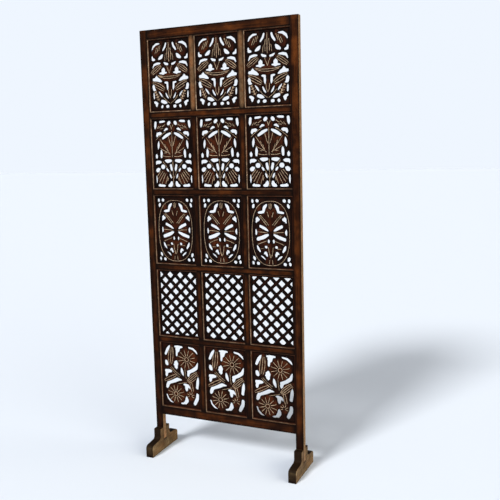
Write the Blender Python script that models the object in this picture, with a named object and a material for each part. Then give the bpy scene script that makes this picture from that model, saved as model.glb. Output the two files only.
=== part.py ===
# Carved wooden partition panel: a frame of three columns and five rows of pierced panels,
# standing on two slotted feet. Metres, +Z up, front towards -Y, origin under the middle.
import math

import bmesh
import bpy
import numpy as np
from mathutils import Vector
from mathutils.geometry import delaunay_2d_cdt

MM = 0.001

# Whole screen
screen_width = 700.0 * MM
screen_height = 1830.0 * MM
frame_thickness = 26.0 * MM
gap = 0.3 * MM

# Frame members
column_count = 3
row_count = 5
stile_width = 33.5 * MM
mullion_width = 23.5 * MM
mid_rail_height = 24.5 * MM
top_rail_height = 38.0 * MM
bottom_rail_height = 38.0 * MM
bottom_rail_underside = 168.0 * MM
groove_depth = 6.0 * MM

# Panels
panel_thickness = 8.0 * MM
panel_setback = 9.0 * MM
bead_width = 6.0 * MM
bead_setback = 2.5 * MM
flange = 5.5 * MM
outline_step = 1.0
outline_tolerance = 2.8
smallest_opening = 60.0
opening_softness = 2.0

# Feet
foot_length = 218.0 * MM
foot_width = 34.0 * MM
foot_nose_height = 38.0 * MM
foot_nose_radius = 16.0 * MM
foot_back_height = 58.0 * MM
foot_back_start = 52.0 * MM
ear_outer = 38.0 * MM
ear_height = 104.0 * MM
leg_end = 50.0 * MM

# Worked out from the sizes above
front_y = -frame_thickness / 2.0
opening_width = (screen_width - 2.0 * stile_width - (column_count - 1) * mullion_width) / column_count
grid_bottom = bottom_rail_underside + bottom_rail_height
grid_top = screen_height - top_rail_height
opening_height = (grid_top - grid_bottom - (row_count - 1) * mid_rail_height) / row_count
panel_face = front_y + panel_setback
panel_back = panel_face + panel_thickness
slot_half = frame_thickness / 2.0 + gap

carved_half_width = opening_width / 2.0 - gap - bead_width
carved_half_height = opening_height / 2.0 - gap - bead_width
pattern_drawn_for = (91.3667, 142.5)
pattern_stretch = (carved_half_width / pattern_drawn_for[0], carved_half_height / pattern_drawn_for[1])

pattern_of_row = ("lily", "maple", "medallion", "lattice", "flowers")
row_words = ("top", "upper", "middle", "lower", "bottom")
column_words = ("left", "centre", "right")


# Openings cut in the carved faces, in millimetres from the panel's middle, for a face of the
# size in pattern_drawn_for. Each is a line of points with the greatest width along it and the
# shares of that width left at its two ends. The mirrored patterns give the right half alone.
mirrored_patterns = ("lily", "maple", "medallion")

openings = {
    "lily": (
        # round the buds
        (((45, 129), (62, 128), (76, 118), (82, 106)), 11, 0.45, 0.5),
        (((16, 128), (20, 116), (30, 102)), 11, 0.9, 0.75),
        (((32, 84), (40, 75), (51, 69)), 16, 0.4, 0.6),
        (((71, 66), (81, 68)), 11, 0.7, 1.0),
        (((81, 68), (83, 82)), 10, 1.0, 0.35),
        # round the upper leaves
        (((45, 50), (60, 50), (75, 46), (82, 33)), 11, 0.5, 0.5),
        (((10, 45), (20, 47), (29, 53)), 10, 0.95, 0.35),
        (((16, 11), (50, 10)), 9, 0.6, 0.6),
        (((31, 31), (32, 13)), 20, 0.3, 1.0),
        (((42, -23), (60, -14), (80, -14)), 16, 0.4, 0.75),
        (((65, -1), (66, -12)), 16, 0.45, 1.0),
        # round the lower leaves
        (((14, -30), (27, -28)), 9, 1.0, 0.7),
        (((15, -32), (13, -60)), 12, 1.0, 0.4),
        (((82, -34), (79, -53)), 16, 0.3, 0.95),
        (((70, -57), (80, -55)), 8, 0.6, 0.8),
        (((24, -72), (18, -84), (11, -93)), 9, 0.7, 0.5),
        (((57, -64), (47, -76), (40, -86)), 9, 0.4, 0.5),
        (((81, -68), (80, -90)), 9.5, 0.6, 0.9),
        # foot of the plant
        (((18, -112), (34, -107), (44, -104)), 15, 0.25, 0.85),
        (((64, -113), (79, -107)), 12, 0.7, 0.8),
        (((70, -113), (69, -125)), 14, 0.9, 0.45),
        (((14, -126), (20, -126)), 13, 0.95, 0.95),
        (((42, -125), (44, -127)), 13, 0.95, 0.95),
    ),
    "maple": (
        # along the top
        (((80, 130), (83, 106)), 14, 1.0, 0.45),
        (((34, 135), (59, 133)), 9, 0.5, 1.0),
        (((13, 129), (19, 125)), 17, 0.85, 0.8),
        (((21, 103), (30, 103), (40, 96)), 10, 0.5, 0.5),
        (((52, 86), (70, 84)), 14, 0.4, 0.9),
        (((73, 84), (75, 71)), 13, 0.9, 0.35),
        # round the large leaf
        (((10, 85), (30, 76), (47, 65)), 14, 0.6, 0.75),
        (((67, 54), (69, 38), (71, 20)), 13, 0.4, 0.4),
        (((56, 15), (56, 2), (57, -12)), 14, 0.6, 0.85),
        (((80, -3), (80, -13)), 14, 0.6, 0.95),
        # between the lower stems
        (((11, -29), (28, -31), (41, -28)), 15, 0.7, 0.35),
        (((58, -34), (80, -35)), 14, 0.35, 1.0),
        (((82, -36), (84, -45)), 8, 0.9, 0.6),
        (((49, -54), (53, -54)), 20, 0.95, 0.95),
        (((68, -64), (79, -69)), 19, 0.5, 0.9),
        (((13, -49), (8, -73)), 14, 0.95, 0.25),
        (((33, -63), (24, -74)), 11, 0.75, 0.35),
        (((19, -86), (13, -100)), 10, 0.6, 0.8),
        # round the shells
        (((84, -92), (83, -106), (84, -123)), 9, 0.6, 0.5),
        (((12, -121), (14, -130)), 17, 0.8, 1.0),
        (((14, -130), (26, -134)), 14, 1.0, 0.7),
        (((45, -134), (74, -133)), 10, 0.8, 0.9),
        (((66, -133), (71, -128)), 10, 0.9, 0.6),
    ),
    "medallion": (
        # between the upper leaves
        (((18, 111), (28, 100), (32, 84)), 15, 0.5, 0.85),
        (((34, 82), (55, 79)), 11, 0.9, 0.55),
        (((52, 52), (60, 52)), 17, 0.6, 0.9),
        (((59, 61), (60, 50)), 13, 0.5, 1.0),
        (((62, 46), (66, 39)), 9, 0.9, 0.4),
        (((12, 6), (28, 16), (46, 24)), 13, 0.35, 0.95),
        (((66, 10), (64, 0), (66, -10)), 11, 0.55, 0.55),
        # between the lower leaves
        (((13, -10), (34, -20), (58, -28)), 15, 0.55, 0.95),
        (((62, -54), (57, -67), (50, -78)), 12, 0.4, 0.7),
        (((24, -82), (31, -87)), 10, 0.7, 0.7),
        (((24, -84), (18, -98)), 12, 1.0, 0.4),
        (((46, -96), (36, -103), (27, -111)), 8, 0.5, 0.5),
        (((11, -33), (11, -39)), 11, 0.9, 0.9),
        (((21, -60), (24, -60)), 12, 0.95, 0.95),
        # drilled corner holes
        (((57, 127), (60, 127)), 14, 0.95, 0.95),
        (((79, 128), (79, 124)), 13, 0.95, 0.95),
        (((74, 110), (77, 102)), 14, 0.8, 0.8),
        (((57, -128), (60, -128)), 14, 0.95, 0.95),
        (((80, -125), (80, -128)), 13, 0.95, 0.95),
        (((73, -111), (77, -103)), 14, 0.8, 0.8),
    ),
    "flowers": (
        # round the upper flower and the bud beside it
        (((-56, 128), (-68, 110), (-78, 90)), 15, 0.5, 0.8),
        (((-29, 127), (6, 128)), 12, 0.85, 0.75),
        (((-14, 122), (-20, 106)), 24, 1.0, 0.6),
        (((-20, 108), (-22, 88)), 13, 1.0, 0.8),
        (((40, 128), (60, 124), (74, 113), (81, 102)), 12, 0.75, 0.4),
        (((-75, 55), (-73, 46)), 20, 0.85, 0.95),
        (((-24, 60), (-27, 46)), 24, 0.5, 0.95),
        (((-38, 43), (-24, 44)), 12, 0.5, 1.0),
        (((-27, 42), (-26, 27)), 20, 1.0, 0.4),
        # round the stem and its leaves
        (((-77, 12), (-52, 14)), 18, 1.0, 0.6),
        (((-74, 6), (-79, -12)), 16, 1.0, 0.45),
        (((0, 31), (2, 16), (9, -3)), 16, 0.6, 0.3),
        (((31, -3), (36, 14)), 16, 0.35, 1.0),
        (((34, 17), (56, 27), (74, 40), (82, 64)), 16, 1.0, 0.25),
        (((82, -1), (78, -28), (75, -50)), 16, 0.25, 0.95),
        (((0, -22), (-20, -21), (-40, -31), (-62, -40)), 17, 0.25, 0.8),
        (((-68, -42), (-76, -62)), 18, 0.9, 0.75),
        # round the lower flower and the bud beside it
        (((9, -42), (30, -46)), 16, 0.5, 1.0),
        (((36, -48), (39, -57)), 12, 0.9, 0.7),
        (((22, -48), (22, -66)), 18, 1.0, 0.75),
        (((-78, -99), (-72, -114), (-60, -126), (-46, -132)), 12, 0.8, 0.3),
        (((22, -99), (22, -114), (14, -126)), 19, 0.55, 0.8),
        (((10, -128), (-8, -132)), 10, 1.0, 0.4),
        (((76, -82), (74, -100), (61, -125)), 17, 0.9, 0.9),
    ),
}


# Distances that are negative inside a shape
def blend(first, second, softness):
    near = np.maximum(softness - np.abs(first - second), 0.0) / softness
    return np.minimum(first, second) - near * near * softness / 4.0


def join(parts, softness):
    d = parts[0]
    for part in parts[1:]:
        d = blend(d, part, softness)
    return d


def slit(x, y, points, width, start, end):
    runs = len(points) - 1
    best = None
    for i in range(runs):
        (ax, ay), (bx, by) = points[i], points[i + 1]
        dx, dy = bx - ax, by - ay
        t = np.clip(((x - ax) * dx + (y - ay) * dy) / (dx * dx + dy * dy), 0.0, 1.0)
        along = (i + t) / runs
        ends = start + (end - start) * along
        here = width * (ends + (1.0 - ends) * 4.0 * along * (1.0 - along))
        d = np.hypot(x - ax - t * dx, y - ay - t * dy) - here / 2.0
        best = d if best is None else np.minimum(best, d)
    return best


def border(x, y, half_w, half_h, corner):
    qx = np.abs(x) - (half_w - corner)
    qy = np.abs(y) - (half_h - corner)
    beyond = np.hypot(np.maximum(qx, 0.0), np.maximum(qy, 0.0))
    return corner - beyond - np.minimum(np.maximum(qx, qy), 0.0)


lattice_pitch = (49.3, 48.6)
lattice_bar_share = 0.361
lattice_hole = {"left": (-13.0, 4.0), "centre": (-7.0, 17.0), "right": (-7.0, 17.0)}


def lattice(x, y, hole):
    d = border(x, y, 88, 139, 3)
    xx = (x - hole[0]) / lattice_pitch[0]
    yy = (y - hole[1]) / lattice_pitch[1]
    across = 1.0 / math.hypot(1.0 / lattice_pitch[0], 1.0 / lattice_pitch[1])
    for way in (xx + yy, xx - yy):
        bar = np.abs(way - 0.5 - np.round(way - 0.5)) * across
        d = blend(d, bar - across * lattice_bar_share / 2.0, 1.5)
    return d


def pattern(name, x, y, column):
    if name == "lattice":
        return lattice(x, y, lattice_hole[column])
    if name in mirrored_patterns:
        x = np.abs(x)
    return -join([slit(x, y, *opening) for opening in openings[name]], opening_softness)


# Outlines of the openings, anticlockwise
def trace_openings(depth, xs, ys):
    following = {}
    place = {}

    def crossing(i, j, upright):
        key = (i, j, upright)
        if key not in place:
            if upright:
                t = depth[j, i] / (depth[j, i] - depth[j + 1, i])
                place[key] = (xs[i], ys[j] + t * (ys[j + 1] - ys[j]))
            else:
                t = depth[j, i] / (depth[j, i] - depth[j, i + 1])
                place[key] = (xs[i] + t * (xs[i + 1] - xs[i]), ys[j])
        return key

    open_here = depth > 0.0
    mixed = (open_here[:-1, :-1].astype(int) + open_here[1:, :-1] + open_here[:-1, 1:] + open_here[1:, 1:])
    for j, i in np.argwhere((mixed > 0) & (mixed < 4)):
        corners = (open_here[j, i], open_here[j, i + 1], open_here[j + 1, i + 1], open_here[j + 1, i])
        sides = (
            crossing(i, j, False) if corners[0] != corners[1] else None,
            crossing(i + 1, j, True) if corners[1] != corners[2] else None,
            crossing(i, j + 1, False) if corners[2] != corners[3] else None,
            crossing(i, j, True) if corners[3] != corners[0] else None,
        )
        leaving = [k for k in range(4) if sides[k] is not None and corners[k] and not corners[(k + 1) % 4]]
        entering = [k for k in range(4) if sides[k] is not None and not corners[k] and corners[(k + 1) % 4]]
        centre_open = depth[j:j + 2, i:i + 2].mean() > 0.0
        for k in leaving:
            if len(entering) == 1:
                other = entering[0]
            elif centre_open:
                other = (k + 1) % 4
            else:
                other = (k + 3) % 4
            following[sides[k]] = sides[other]
    loops = []
    while following:
        start, here = following.popitem()
        loop = [place[start]]
        while here != start:
            loop.append(place[here])
            here = following.pop(here)
        loops.append(np.array(loop))
    return loops


def loop_area(loop):
    x, y = loop[:, 0], loop[:, 1]
    return 0.5 * float(np.sum(x * np.roll(y, -1) - np.roll(x, -1) * y))


def thin_run(points, tolerance):
    if len(points) < 3:
        return points
    a, b = points[0], points[-1]
    d = b - a
    length = np.hypot(d[0], d[1])
    if length < 1e-9:
        away = np.hypot(points[:, 0] - a[0], points[:, 1] - a[1])
    else:
        away = np.abs(d[0] * (points[:, 1] - a[1]) - d[1] * (points[:, 0] - a[0])) / length
    far = int(np.argmax(away))
    if away[far] <= tolerance:
        return np.array([a, b])
    first = thin_run(points[:far + 1], tolerance)
    second = thin_run(points[far:], tolerance)
    return np.vstack([first[:-1], second])


def thin_loop(loop, tolerance):
    centre = loop.mean(axis=0)
    start = int(np.argmax(np.hypot(*(loop - centre).T)))
    loop = np.roll(loop, -start, axis=0)
    far = int(np.argmax(np.hypot(*(loop - loop[0]).T)))
    first = thin_run(loop[:far + 1], tolerance)
    second = thin_run(np.vstack([loop[far:], loop[:1]]), tolerance)
    return np.vstack([first[:-1], second[:-1]])


def opening_outlines(name, column):
    reach_x, reach_y = pattern_drawn_for
    xs = np.arange(-reach_x, reach_x + outline_step, outline_step) + 0.013
    ys = np.arange(-reach_y, reach_y + outline_step, outline_step) + 0.017
    x, y = np.meshgrid(xs, ys)
    loops = trace_openings(pattern(name, x, y, column), xs, ys)
    kept = [loop for loop in loops if abs(loop_area(loop)) >= smallest_opening]
    return [thin_loop(loop, outline_tolerance) * pattern_stretch for loop in kept]


# Solids
def wood(name, colour, roughness):
    material = bpy.data.materials.new(name)
    material.use_nodes = True
    shader = material.node_tree.nodes["Principled BSDF"]
    shader.inputs["Base Color"].default_value = (*colour, 1.0)
    shader.inputs["Roughness"].default_value = roughness
    material.diffuse_color = (*colour, 1.0)
    return material


def new_object(name, bm, material):
    bmesh.ops.recalc_face_normals(bm, faces=bm.faces)
    mesh = bpy.data.meshes.new(name)
    bm.to_mesh(mesh)
    bm.free()
    obj = bpy.data.objects.new(name, mesh)
    bpy.context.scene.collection.objects.link(obj)
    mesh.materials.append(material)
    return obj


def box_object(name, low, high, material):
    bm = bmesh.new()
    bmesh.ops.create_cube(bm, size=1.0)
    centre = [(a + b) / 2.0 for a, b in zip(low, high)]
    size = [b - a for a, b in zip(low, high)]
    for vert in bm.verts:
        vert.co = Vector([centre[k] + vert.co[k] * size[k] for k in range(3)])
    return new_object(name, bm, material)


def cut_boxes(target, boxes, material):
    for number, (low, high) in enumerate(boxes):
        cutter = box_object("cutter_%s_%d" % (target.name, number), low, high, material)
        cutter.hide_render = True
        cutter.display_type = "WIRE"
        step = target.modifiers.new("groove_%d" % number, "BOOLEAN")
        step.operation = "DIFFERENCE"
        step.solver = "EXACT"
        step.object = cutter


def prism(name, outline, axis_range, material, to_space):
    bm = bmesh.new()
    ends = []
    for value in axis_range:
        ends.append([bm.verts.new(to_space(a, b, value)) for a, b in outline])
    count = len(outline)
    bm.faces.new(ends[0])
    bm.faces.new(ends[1])
    for i in range(count):
        k = (i + 1) % count
        bm.faces.new((ends[0][i], ends[0][k], ends[1][k], ends[1][i]))
    return new_object(name, bm, material)


def rectangle(half_w, half_h):
    return [(-half_w, -half_h), (half_w, -half_h), (half_w, half_h), (-half_w, half_h)]


def cap_triangles(outer, holes):
    points = [Vector(p) for p in outer]
    loops = [list(range(len(points)))]
    for hole in holes:
        start = len(points)
        points += [Vector((float(p[0]), float(p[1]))) for p in hole]
        loops.append(list(range(start, len(points))))
    edges = [(loop[i], loop[(i + 1) % len(loop)]) for loop in loops for i in range(len(loop))]
    found = delaunay_2d_cdt([Vector((p.x, p.y)) * 1000.0 for p in points], edges, [], 0, 1e-7)
    places, faces, origin = found[0], found[2], found[3]
    if len(places) != len(points):
        raise ValueError("outlines of a panel cross")
    back = [ids[0] for ids in origin]
    flat = np.array([[p.x, p.y] for p in points])
    kept = []
    for face in faces:
        corners = [back[i] for i in face]
        middle = flat[corners].mean(axis=0)
        inside = 0
        for loop in loops:
            a = flat[loop]
            b = flat[loop[1:] + loop[:1]]
            spans = (a[:, 1] > middle[1]) != (b[:, 1] > middle[1])
            rise = np.where(spans, b[:, 1] - a[:, 1], 1.0)
            at = a[:, 0] + (middle[1] - a[:, 1]) * (b[:, 0] - a[:, 0]) / rise
            inside += int(np.sum(spans & (at > middle[0])))
        if inside % 2 == 1:
            kept.append(corners)
    return kept


def carved_panel(name, pattern_name, column, centre, material):
    holes = opening_outlines(pattern_name, column)
    board = rectangle(opening_width / 2.0 + flange, opening_height / 2.0 + flange)
    half_w = carved_half_width + bead_width
    half_h = carved_half_height + bead_width
    crest = front_y + bead_setback
    # the bead's section, from its outer wall to the carved face: inset and depth
    section = (
        (0.0, panel_face),
        (0.0, crest),
        (bead_width * 0.45, crest),
        (bead_width * 0.85, crest + (panel_face - crest) * 0.35),
        (bead_width, panel_face),
    )
    bm = bmesh.new()

    def ring(outline, depth):
        return [bm.verts.new((centre[0] + u, depth, centre[1] + v)) for u, v in outline]

    board_front = ring(board, panel_face)
    board_back = ring(board, panel_back)
    rings = [board_front]
    for inset, depth in section:
        rings.append(ring(rectangle(half_w - inset, half_h - inset), depth))
    hole_front = [ring(hole, panel_face) for hole in holes]
    hole_back = [ring(hole, panel_back) for hole in holes]
    for first, second in zip([board_back] + rings[:-1], rings):
        for i in range(4):
            k = (i + 1) % 4
            bm.faces.new((first[i], first[k], second[k], second[i]))
    for first, second in zip(hole_front, hole_back):
        for i in range(len(first)):
            k = (i + 1) % len(first)
            bm.faces.new((first[i], first[k], second[k], second[i]))
    inner = rectangle(carved_half_width, carved_half_height)
    for outer, corner_verts, hole_verts in ((inner, rings[-1], hole_front), (board, board_back, hole_back)):
        verts = list(corner_verts)
        for loop in hole_verts:
            verts += loop
        for triangle in cap_triangles(outer, holes):
            bm.faces.new([verts[i] for i in triangle])
    return new_object(name, bm, material)


def foot_outline():
    half = foot_length / 2.0
    side = [(half, 0.0), (half, foot_nose_height)]
    for i in range(1, 6):
        turn = math.radians(90.0 * i / 5.0)
        side.append((half - foot_nose_radius * (1.0 - math.cos(turn)),
                     foot_nose_height + foot_nose_radius * math.sin(turn)))
    side.append((foot_back_start, foot_back_height))
    hollow = foot_back_start - ear_outer
    for i in range(1, 6):
        turn = math.radians(90.0 * i / 5.0)
        side.append((foot_back_start - hollow * math.sin(turn),
                     foot_back_height + hollow * (1.0 - math.cos(turn))))
    side += [(ear_outer, ear_height), (slot_half, ear_height), (slot_half, leg_end)]
    return side + [(-y, z) for y, z in reversed(side)]


def build():
    for obj in list(bpy.data.objects):
        bpy.data.objects.remove(obj)
    frame_wood = wood("frame_wood", (0.085, 0.03, 0.016), 0.5)
    panel_wood = wood("panel_wood", (0.075, 0.026, 0.015), 0.55)
    foot_wood = wood("foot_wood", (0.09, 0.034, 0.017), 0.5)

    half = screen_width / 2.0
    inner = half - stile_width
    groove_low = panel_face - gap
    groove_high = panel_back + gap
    reach = groove_depth

    for side, name in ((-1, "left_stile"), (1, "right_stile")):
        edges = sorted((side * half, side * inner))
        stile = box_object(name, (edges[0], front_y, leg_end + gap), (edges[1], -front_y, screen_height), frame_wood)
        groove = sorted((side * (inner - 1.0 * MM), side * (inner + reach)))
        cut_boxes(stile, [((groove[0], groove_low, grid_bottom - reach), (groove[1], groove_high, grid_top + reach))],
                  frame_wood)

    def rail(name, low, high, grooves):
        rail_object = box_object(name, (-inner + gap, front_y, low), (inner - gap, -front_y, high), frame_wood)
        cuts = []
        if "below" in grooves:
            cuts.append(((-half, groove_low, low - 1.0 * MM), (half, groove_high, low + reach)))
        if "above" in grooves:
            cuts.append(((-half, groove_low, high - reach), (half, groove_high, high + 1.0 * MM)))
        cut_boxes(rail_object, cuts, frame_wood)

    rail("top_rail", grid_top, screen_height, ("below",))
    rail("bottom_rail", bottom_rail_underside, grid_bottom, ("above",))
    row_base = []
    for row in range(row_count):
        base = grid_top - (row + 1) * opening_height - row * mid_rail_height
        row_base.append(base)
        if row < row_count - 1:
            rail("mid_rail_%d" % (row + 1), base - mid_rail_height, base, ("below", "above"))

    for row in range(row_count):
        low = row_base[row] + gap
        high = row_base[row] + opening_height - gap
        for number in range(column_count - 1):
            left = -inner + (number + 1) * opening_width + number * mullion_width
            right = left + mullion_width
            name = "mullion_%s_%s" % (row_words[row], ("left", "right")[number])
            mullion = box_object(name, (left, front_y, low), (right, -front_y, high), frame_wood)
            cuts = [((left - 1.0 * MM, groove_low, low - 1.0 * MM), (left + reach, groove_high, high + 1.0 * MM)),
                    ((right - reach, groove_low, low - 1.0 * MM), (right + 1.0 * MM, groove_high, high + 1.0 * MM))]
            cut_boxes(mullion, cuts, frame_wood)
        for column in range(column_count):
            middle = -inner + opening_width / 2.0 + column * (opening_width + mullion_width)
            name = "panel_%s_%s" % (row_words[row], column_words[column])
            carved_panel(name, pattern_of_row[row], column_words[column],
                         (middle, row_base[row] + opening_height / 2.0), panel_wood)

    for side, name in ((-1, "left_foot"), (1, "right_foot")):
        middle = side * (half - stile_width / 2.0)
        prism(name, foot_outline(), (middle - foot_width / 2.0, middle + foot_width / 2.0), foot_wood,
              lambda y, z, x: (x, y, z))


build()
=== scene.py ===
import math
import random

import bmesh
import bpy
import numpy as np
from mathutils import Matrix, Vector
from mathutils.geometry import delaunay_2d_cdt
from mathutils.noise import noise


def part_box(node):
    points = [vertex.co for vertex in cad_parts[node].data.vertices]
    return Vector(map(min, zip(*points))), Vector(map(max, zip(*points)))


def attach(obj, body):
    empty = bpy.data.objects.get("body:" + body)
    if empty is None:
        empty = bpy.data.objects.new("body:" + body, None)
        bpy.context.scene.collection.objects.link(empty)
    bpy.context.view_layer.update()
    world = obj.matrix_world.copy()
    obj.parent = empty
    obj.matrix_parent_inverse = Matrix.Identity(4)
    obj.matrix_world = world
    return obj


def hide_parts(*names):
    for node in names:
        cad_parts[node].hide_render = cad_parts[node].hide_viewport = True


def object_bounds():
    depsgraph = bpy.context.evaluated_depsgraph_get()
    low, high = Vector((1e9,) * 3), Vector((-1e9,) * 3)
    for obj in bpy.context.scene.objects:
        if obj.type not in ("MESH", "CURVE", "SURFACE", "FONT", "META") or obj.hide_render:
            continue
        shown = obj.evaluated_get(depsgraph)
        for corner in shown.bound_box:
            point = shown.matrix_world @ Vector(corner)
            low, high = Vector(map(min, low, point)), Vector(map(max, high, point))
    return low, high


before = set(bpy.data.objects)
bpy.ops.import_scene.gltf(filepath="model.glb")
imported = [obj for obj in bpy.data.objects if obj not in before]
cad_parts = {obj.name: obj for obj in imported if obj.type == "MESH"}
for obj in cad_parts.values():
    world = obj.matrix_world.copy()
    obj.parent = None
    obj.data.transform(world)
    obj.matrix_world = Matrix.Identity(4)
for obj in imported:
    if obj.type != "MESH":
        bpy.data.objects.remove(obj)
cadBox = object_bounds()
print("frame loaded:", len(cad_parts), "nodes")

mm = 0.001
closeBy = 1e-5      # metres within which two places count as one
rowWords = ("top", "upper", "middle", "lower", "bottom")
columnWords = ("left", "centre", "right")
patternOfRow = ("lily", "maple", "medallion", "lattice", "flowers")


# Shader nodes

def newGroup(name, inputs, outputs):
    group = bpy.data.node_groups.new(name, "ShaderNodeTree")
    for label, kind, value in inputs:
        socket = group.interface.new_socket(label, in_out="INPUT", socket_type=kind)
        if value is not None:
            socket.default_value = value
    for label, kind in outputs:
        group.interface.new_socket(label, in_out="OUTPUT", socket_type=kind)
    return group, group.nodes.new("NodeGroupInput"), group.nodes.new("NodeGroupOutput")


def setSocket(tree, socket, value):
    if isinstance(value, bpy.types.NodeSocket):
        tree.links.new(value, socket)
    else:
        socket.default_value = value


def addNode(tree, kind, settings=None, inputs=None):
    node = tree.nodes.new(kind)
    for key, value in (settings or {}).items():
        setattr(node, key, value)
    for key, value in (inputs or {}).items():
        setSocket(tree, node.inputs[key], value)
    return node


def mathNode(tree, operation, first, second=None, clamp=False):
    inputs = {0: first}
    if second is not None:
        inputs[1] = second
    return addNode(tree, "ShaderNodeMath", {"operation": operation, "use_clamp": clamp}, inputs).outputs[0]


def rangeNode(tree, value, low, high, toLow=0.0, toHigh=1.0, smooth=True):
    kind = "SMOOTHSTEP" if smooth else "LINEAR"
    inputs = {"Value": value, "From Min": low, "From Max": high, "To Min": toLow, "To Max": toHigh}
    return addNode(tree, "ShaderNodeMapRange", {"interpolation_type": kind}, inputs).outputs[0]


def mixColour(tree, share, first, second):
    # a colour mix has its share, first and second colours on sockets 0, 6 and 7
    return addNode(tree, "ShaderNodeMix", {"data_type": "RGBA"}, {0: share, 6: first, 7: second}).outputs[2]


def noiseNode(tree, vector, scale, detail=3.0, roughness=0.55):
    inputs = {"Vector": vector, "Scale": scale, "Detail": detail, "Roughness": roughness}
    return addNode(tree, "ShaderNodeTexNoise", None, inputs).outputs["Fac"]


# Camera, floor and light

cameraSettings = {
    "place": (1.2488, -2.5396, 1.3253),
    "yaw": 23.884,      # degrees, towards -X from +Y
    "pitch": 8.21,      # degrees below the horizon
    "roll": -1.347,     # degrees
    "lens": 49.44,      # millimetres, on a sensor 36 mm wide
    "sensor": 36.0,
    "clip": (0.05, 60.0),
}

lightSettings = {
    "backdrop": (0.863, 0.922, 1.0),
    "fill": (0.19, 0.212, 0.255),       # soft light from all round
    "softbox": (4.2, 3.85, 3.2),        # large soft light on the right
    "softboxAim": (0.97, -0.20, 0.14),
    "softboxEdge": (0.62, 0.92),        # cosines from its middle where its light begins and is full
    "floor": (0.695, 0.765, 0.875),
    "floorReach": 40.0,                 # metres
}

sunSettings = {
    "towards": (0.25, 0.92, -0.78),
    "strength": 3.4,
    "angle": 15,                        # degrees across, for soft shadows
    "colour": (1.0, 0.965, 0.91),
}


def makeCamera():
    s = cameraSettings
    yaw, pitch, roll = (math.radians(s[k]) for k in ("yaw", "pitch", "roll"))
    forward = Vector((-math.sin(yaw) * math.cos(pitch), math.cos(yaw) * math.cos(pitch), -math.sin(pitch)))
    right = forward.cross(Vector((0, 0, 1))).normalized()
    up = right.cross(forward)
    tiltedRight = right * math.cos(roll) + up * math.sin(roll)
    tiltedUp = up * math.cos(roll) - right * math.sin(roll)
    data = bpy.data.cameras.new("photoCamera")
    data.lens = s["lens"]
    data.sensor_width = s["sensor"]
    data.clip_start, data.clip_end = s["clip"]
    camera = bpy.data.objects.new("photoCamera", data)
    bpy.context.scene.collection.objects.link(camera)
    turn = Matrix((tiltedRight, tiltedUp, -forward)).transposed().to_4x4()
    camera.matrix_world = Matrix.Translation(Vector(s["place"])) @ turn
    bpy.context.scene.camera = camera


def makeWorld():
    light = lightSettings
    world = bpy.data.worlds.new("studioWorld")
    world.use_nodes = True
    tree = world.node_tree
    place = addNode(tree, "ShaderNodeTexCoord").outputs["Generated"]
    facing = addNode(tree, "ShaderNodeVectorMath", {"operation": "DOT_PRODUCT"},
                     {0: place, 1: Vector(light["softboxAim"]).normalized()}).outputs["Value"]
    spread = rangeNode(tree, facing, *light["softboxEdge"])
    lit = mixColour(tree, spread, (*light["fill"], 1), (*light["softbox"], 1))
    seen = addNode(tree, "ShaderNodeLightPath").outputs["Is Camera Ray"]
    shown = mixColour(tree, seen, lit, (*light["backdrop"], 1))
    tree.links.new(shown, tree.nodes["Background"].inputs["Color"])
    bpy.context.scene.world = world


def makeSun():
    data = bpy.data.lights.new("softSun", "SUN")
    data.energy = sunSettings["strength"]
    data.angle = math.radians(sunSettings["angle"])
    data.color = sunSettings["colour"]
    sun = bpy.data.objects.new("softSun", data)
    bpy.context.scene.collection.objects.link(sun)
    sun.rotation_euler = Vector(sunSettings["towards"]).to_track_quat("-Z", "Y").to_euler()


def makeFloor():
    bm = bmesh.new()
    bmesh.ops.create_grid(bm, x_segments=8, y_segments=8, size=lightSettings["floorReach"])
    mesh = bpy.data.meshes.new("studioFloor")
    bm.to_mesh(mesh)
    bm.free()
    floor = bpy.data.objects.new("studioFloor", mesh)
    bpy.context.scene.collection.objects.link(floor)
    material = bpy.data.materials.new("floorPale")
    material.use_nodes = True
    shader = material.node_tree.nodes["Principled BSDF"]
    shader.inputs["Base Color"].default_value = (*lightSettings["floor"], 1)
    shader.inputs["Roughness"].default_value = 1.0
    shader.inputs["Specular IOR Level"].default_value = 0.0
    mesh.materials.append(material)


makeCamera()
makeWorld()
makeSun()
makeFloor()
bpy.context.scene.view_settings.view_transform = "Standard"
print("camera, light and floor made")


# Shader node groups, each made once and placed in several materials

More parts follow.
